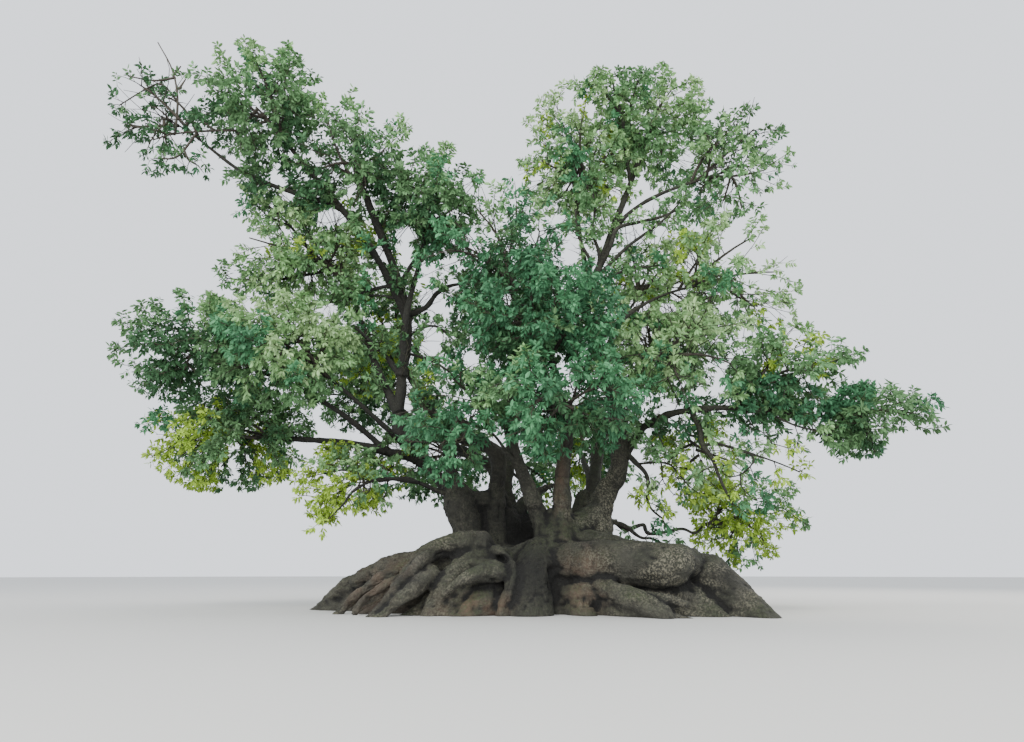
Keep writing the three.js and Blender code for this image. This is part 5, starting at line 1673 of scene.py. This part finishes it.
def add_node(tree, kind, settings=None, inputs=None):
    """A new node with its settings and the values of its inputs."""
    node = tree.nodes.new(kind)
    for key, value in (settings or {}).items():
        setattr(node, key, value)
    for key, value in (inputs or {}).items():
        node.inputs[key].default_value = value
    return node


def mixed(tree, factor, first, second, blend="MIX"):
    """A colour mix of two sockets or plain colours by a factor socket or number."""
    node = add_node(tree, "ShaderNodeMix", {"data_type": "RGBA", "blend_type": blend})
    for socket, value in ((node.inputs[0], factor), (node.inputs[6], first), (node.inputs[7], second)):
        if isinstance(value, bpy.types.NodeSocket):
            tree.links.new(value, socket)
        elif isinstance(value, float):
            socket.default_value = value
        else:
            socket.default_value = (*value, 1.0)
    return node.outputs[2]


def ramp(tree, value, low, high):
    """A number socket stretched so that low becomes 0 and high becomes 1, held in between."""
    node = add_node(tree, "ShaderNodeMapRange", {"clamp": True}, {"From Min": low, "From Max": high})
    tree.links.new(value, node.inputs["Value"])
    return node.outputs["Result"]


def times(tree, first, second):
    """The product of two number sockets or plain numbers."""
    node = add_node(tree, "ShaderNodeMath", {"operation": "MULTIPLY"})
    for socket, value in zip(node.inputs, (first, second)):
        if isinstance(value, bpy.types.NodeSocket):
            tree.links.new(value, socket)
        else:
            socket.default_value = value
    return node.outputs[0]


def bark_grain_group():
    """Bark grain: coarse patches, fine speckle and a height, from noise on Object coordinates."""
    group = bpy.data.node_groups.get("bark grain")
    if group:
        return group
    group = bpy.data.node_groups.new("bark grain", "ShaderNodeTree")
    socket = group.interface.new_socket("Scale", in_out="INPUT", socket_type="NodeSocketFloat")
    socket.default_value = 1.0
    for name in ("Patches", "Speckle", "Dots", "Height"):
        group.interface.new_socket(name, in_out="OUTPUT", socket_type="NodeSocketFloat")
    enter, leave = group.nodes.new("NodeGroupInput"), group.nodes.new("NodeGroupOutput")
    place = group.nodes.new("ShaderNodeTexCoord")
    scaled = add_node(group, "ShaderNodeVectorMath", {"operation": "SCALE"})
    group.links.new(place.outputs["Object"], scaled.inputs[0])
    group.links.new(enter.outputs["Scale"], scaled.inputs["Scale"])
    layers = {}
    for name, (size, detail, rough) in GRAIN_LAYERS.items():
        values = {"Scale": size, "Detail": detail, "Roughness": rough}
        layers[name] = add_node(group, "ShaderNodeTexNoise", None, values)
    cracks = add_node(group, "ShaderNodeTexVoronoi", {"feature": "DISTANCE_TO_EDGE"},
                      {"Scale": CRACK_SCALE})
    for node in (*layers.values(), cracks):
        group.links.new(scaled.outputs["Vector"], node.inputs["Vector"])
    height = add_node(group, "ShaderNodeMath", {"operation": "ADD"})
    ridges = times(group, ramp(group, cracks.outputs["Distance"], *CRACK_RANGE), CRACK_DEPTH)
    group.links.new(ridges, height.inputs[0])
    group.links.new(layers["Fine"].outputs["Fac"], height.inputs[1])
    for name in ("Patches", "Speckle", "Dots"):
        group.links.new(layers[name].outputs["Fac"], leave.inputs[name])
    group.links.new(height.outputs[0], leave.inputs["Height"])
    return group


def bark_base(tree, shader, scale, colour, depth):
    """Grey-brown bark: darker and lighter patches, speckle and a bump, on the given shader."""
    grain = add_node(tree, "ShaderNodeGroup", {"node_tree": bark_grain_group()})
    grain.inputs["Scale"].default_value = scale
    dark = tuple(DARKER * part for part in colour)
    pale = tuple(min(PALER * part, 1.0) for part in colour)
    base = mixed(tree, ramp(tree, grain.outputs["Patches"], *PATCH_RANGE), dark, colour)
    speckle = times(tree, ramp(tree, grain.outputs["Speckle"], *SPECKLE_RANGE), SPECKLE)
    base = mixed(tree, speckle, base, pale)
    bump = add_node(tree, "ShaderNodeBump", None, {"Strength": BUMP, "Distance": depth})
    tree.links.new(grain.outputs["Height"], bump.inputs["Height"])
    tree.links.new(bump.outputs["Normal"], shader.inputs["Normal"])
    shader.inputs["Roughness"].default_value = BARK_ROUGHNESS
    return grain, base


def bark_material(name, props):
    """Bark with moss, lichen, rust-brown patches and painted shade where the mesh's attributes say; the
    lichen also paints light on the stems and crests.
    """
    material, tree, shader = new_material(name)
    scale, depth = BARK_GRAIN
    grain, base = bark_base(tree, shader, scale, tuple(props.bark), depth)
    fields = {}
    for field in ("shade", "moss", "lichen", "rust"):
        fields[field] = add_node(tree, "ShaderNodeAttribute", {"attribute_name": field}).outputs["Fac"]
    base = mixed(tree, times(tree, fields["rust"], RUST), base, tuple(props.rust))
    patchy = times(tree, fields["moss"], ramp(tree, grain.outputs["Speckle"], *MOSS_RANGE))
    base = mixed(tree, patchy, base, tuple(props.moss))
    # Pale lichen, also painted light on the stems and a painted highlight on crests
    speckled = times(tree, fields["lichen"], ramp(tree, grain.outputs["Dots"], *LICHEN_RANGE))
    base = mixed(tree, speckled, base, tuple(props.lichen))
    # Painted shade: the bark darkened towards its colour in full shade
    dark = tuple(SHADED * part for part in props.bark)
    base = mixed(tree, fields["shade"], base, dark)
    tree.links.new(base, shader.inputs["Base Color"])
    return material


def plain_bark_material(name, colour):
    """Bark of one colour, for twigs and shoots."""
    material, tree, shader = new_material(name)
    scale, depth = TWIG_GRAIN
    _, base = bark_base(tree, shader, scale, tuple(colour), depth)
    tree.links.new(base, shader.inputs["Base Color"])
    return material


def leaf_material(tone):
    """One tone of leaf: its plain colour, a little darker and lighter from place to place."""
    material, tree, shader = new_material(f"leaf {tone}")
    colour = LEAF_TONES[tone][0]
    place = add_node(tree, "ShaderNodeTexCoord")
    cloud = add_node(tree, "ShaderNodeTexNoise", None, {"Scale": 2.5, "Detail": 3.0})
    tree.links.new(place.outputs["Object"], cloud.inputs["Vector"])
    darker, lighter = (tuple(min(share * part, 1) for part in colour) for share in LEAF_SHADES)
    base = mixed(tree, ramp(tree, cloud.outputs["Fac"], *LEAF_RANGE), darker, lighter)
    tree.links.new(base, shader.inputs["Base Color"])
    shader.inputs["Roughness"].default_value = LEAF_ROUGHNESS
    shader.inputs["Specular IOR Level"].default_value = LEAF_SHINE
    return material


# Stage


def make_stage(props):
    """A pale floor, soft light from all sides, three large soft lamps and the photo's camera."""
    floor = bpy.data.meshes.new("floor")
    angle = np.linspace(0, 2 * np.pi, FLOOR_SIDES, endpoint=False)
    ring = np.stack([np.cos(angle), np.sin(angle), 0 * angle], axis=1) * props.floor_radius
    floor.from_pydata((ring - FLOOR_DROP * UP).tolist(), [], [list(range(len(angle)))])
    ground = bpy.data.objects.new("floor", floor)
    material, _, shader = new_material("pale floor")
    shader.inputs["Base Color"].default_value = (*props.floor_colour, 1)
    shader.inputs["Roughness"].default_value = FLOOR_ROUGHNESS
    floor.materials.append(material)
    bpy.context.scene.collection.objects.link(ground)

    world = bpy.data.worlds.new("studio")
    world.use_nodes = True
    studio = world.node_tree.nodes["Background"]
    studio.inputs["Color"].default_value = STUDIO_COLOUR
    studio.inputs["Strength"].default_value = props.surround
    bpy.context.scene.world = world

    for name, (place, size, colour) in LAMPS.items():
        lamp = bpy.data.lights.new(name, "AREA")
        lamp.shape = "SQUARE"
        lamp.size = size
        lamp.energy = getattr(props, name)
        lamp.color = colour
        light = bpy.data.objects.new(name, lamp)
        light.location = place
        way = Vector(LIT_POINT) - Vector(place)
        light.rotation_euler = way.to_track_quat("-Z", "Y").to_euler()
        bpy.context.scene.collection.objects.link(light)

    camera = bpy.data.cameras.new("camera")
    camera.sensor_width = SENSOR
    camera.lens = props.lens
    eye = bpy.data.objects.new("camera", camera)
    eye.location = tuple(props.eye)
    eye.rotation_euler = (math.pi / 2 + props.tilt, 0, 0)
    bpy.context.scene.collection.objects.link(eye)
    bpy.context.scene.camera = eye


# Add-on


def colour_property(name, description, default):
    """A colour that the panel shows."""
    return FloatVectorProperty(name=name, description=description, subtype="COLOR", default=default,
                               min=0, max=1)


class OmbuBarkProperties(bpy.types.PropertyGroup):
    """Grain and colours of the bark"""

    voxel: FloatProperty(name="Skin grain", description="Size of a face of the flare's skin",
                         default=0.037, min=0.02, unit="LENGTH")
    step: FloatProperty(name="Bough step", description="Distance between a bough's rings",
                        default=0.08, min=0.02, unit="LENGTH")
    sides: IntProperty(name="Bough sides", description="Points round a bough's ring", default=14, min=6)
    bark: colour_property("Bark", "Colour of the bark", (0.046, 0.045, 0.035))
    moss: colour_property("Moss", "Colour of the moss on top", (0.038, 0.052, 0.019))
    lichen: colour_property("Lichen", "Colour of the pale lichen", (0.18, 0.168, 0.122))
    rust: colour_property("Rust", "Colour of the reddish patches", (0.13, 0.08, 0.052))


class OmbuCrownProperties(bpy.types.PropertyGroup):
    """Size of the leaves, and colours of twigs and shoots"""

    length: FloatProperty(name="Leaf length", description="Mean length of a leaf", default=0.17,
                          min=0.02, unit="LENGTH")
    width: FloatProperty(name="Leaf width", description="Width over length", default=0.46, min=0.1)
    fold: FloatProperty(name="Leaf fold", description="Lift of a leaf's edges over its half width",
                        default=0.3)
    twig: colour_property("Twig", "Colour of the twigs", (0.05, 0.043, 0.032))
    shoot: colour_property("Shoot", "Colour of the thin shoots", (0.07, 0.075, 0.035))


class OmbuStageProperties(bpy.types.PropertyGroup):
    """Floor, lamps and camera"""

    floor_radius: FloatProperty(name="Floor radius", description="Radius of the floor", default=160,
                                unit="LENGTH")
    floor_colour: colour_property("Floor", "Colour of the floor", (0.55, 0.55, 0.53))
    surround: FloatProperty(name="Surround", description="Strength of the light from all sides",
                            default=1.7)
    key: FloatProperty(name="Key", description="Power of the front lamp", default=8500, unit="POWER")
    fill: FloatProperty(name="Fill", description="Power of the lamp behind the camera", default=6500,
                        unit="POWER")
    rim: FloatProperty(name="Rim", description="Power of the back lamp", default=7000, unit="POWER")
    lens: FloatProperty(name="Lens", description="Focal length in millimetres", default=24.26)
    eye: FloatVectorProperty(name="Eye", description="Place of the camera", default=PHOTO_EYE,
                             unit="LENGTH")
    tilt: FloatProperty(name="Tilt", description="How far the camera looks up",
                        default=PHOTO_TILT, unit="ROTATION")


class OMBU_OT_flare(bpy.types.Operator):
    """Makes the root flare and stems"""

    bl_idname = "ombu.flare"
    bl_label = "Root flare and stems"

    def execute(self, context):
        make_flare(context.scene.ombu_bark)
        return {"FINISHED"}


class OMBU_OT_boughs(bpy.types.Operator):
    """Makes the boughs"""

    bl_idname = "ombu.boughs"
    bl_label = "Boughs"

    def execute(self, context):
        make_boughs(context.scene.ombu_bark)
        make_branches(context.scene.ombu_bark)
        return {"FINISHED"}


class OMBU_OT_twigs(bpy.types.Operator):
    """Makes the twigs and shoots of the crown"""

    bl_idname = "ombu.twigs"
    bl_label = "Twigs"

    def execute(self, context):
        make_twigs(context.scene.ombu_crown)
        return {"FINISHED"}


class OMBU_OT_leaves(bpy.types.Operator):
    """Makes the leaves of the crown"""

    bl_idname = "ombu.leaves"
    bl_label = "Leaves"

    def execute(self, context):
        make_leaves(context.scene.ombu_crown)
        return {"FINISHED"}


class OMBU_OT_stage(bpy.types.Operator):
    """Makes the floor, lights and camera"""

    bl_idname = "ombu.stage"
    bl_label = "Stage"

    def execute(self, context):
        make_stage(context.scene.ombu_stage)
        return {"FINISHED"}


class OMBU_PT_panel(bpy.types.Panel):
    """The operators and every value of the tree, in the sidebar"""

    bl_label = "Ombu tree"
    bl_space_type = "VIEW_3D"
    bl_region_type = "UI"
    bl_category = "Ombu"

    def draw(self, context):
        for operator in OPERATORS:
            self.layout.operator(operator.bl_idname)
        for group in (context.scene.ombu_bark, context.scene.ombu_crown, context.scene.ombu_stage):
            column = self.layout.column()
            for name in group.bl_rna.properties.keys():
                if name not in ("rna_type", "name"):
                    column.prop(group, name)


OPERATORS = (OMBU_OT_stage, OMBU_OT_flare, OMBU_OT_boughs, OMBU_OT_twigs, OMBU_OT_leaves)
GROUPS = {"ombu_bark": OmbuBarkProperties, "ombu_crown": OmbuCrownProperties,
          "ombu_stage": OmbuStageProperties}


def register():
    """Registers the classes and hangs the values on the scene."""
    for kind in (*GROUPS.values(), *OPERATORS, OMBU_PT_panel):
        bpy.utils.register_class(kind)
    for name, kind in GROUPS.items():
        setattr(bpy.types.Scene, name, PointerProperty(type=kind))


def unregister():
    """Undoes what register does."""
    for name in GROUPS:
        delattr(bpy.types.Scene, name)
    for kind in (OMBU_PT_panel, *OPERATORS, *GROUPS.values()):
        bpy.utils.unregister_class(kind)


def main():
    """Runs every operator once."""
    register()
    bpy.ops.ombu.stage()
    bpy.ops.ombu.flare()
    bpy.ops.ombu.boughs()
    bpy.ops.ombu.twigs()
    bpy.ops.ombu.leaves()


if __name__ == "__main__":
    main()
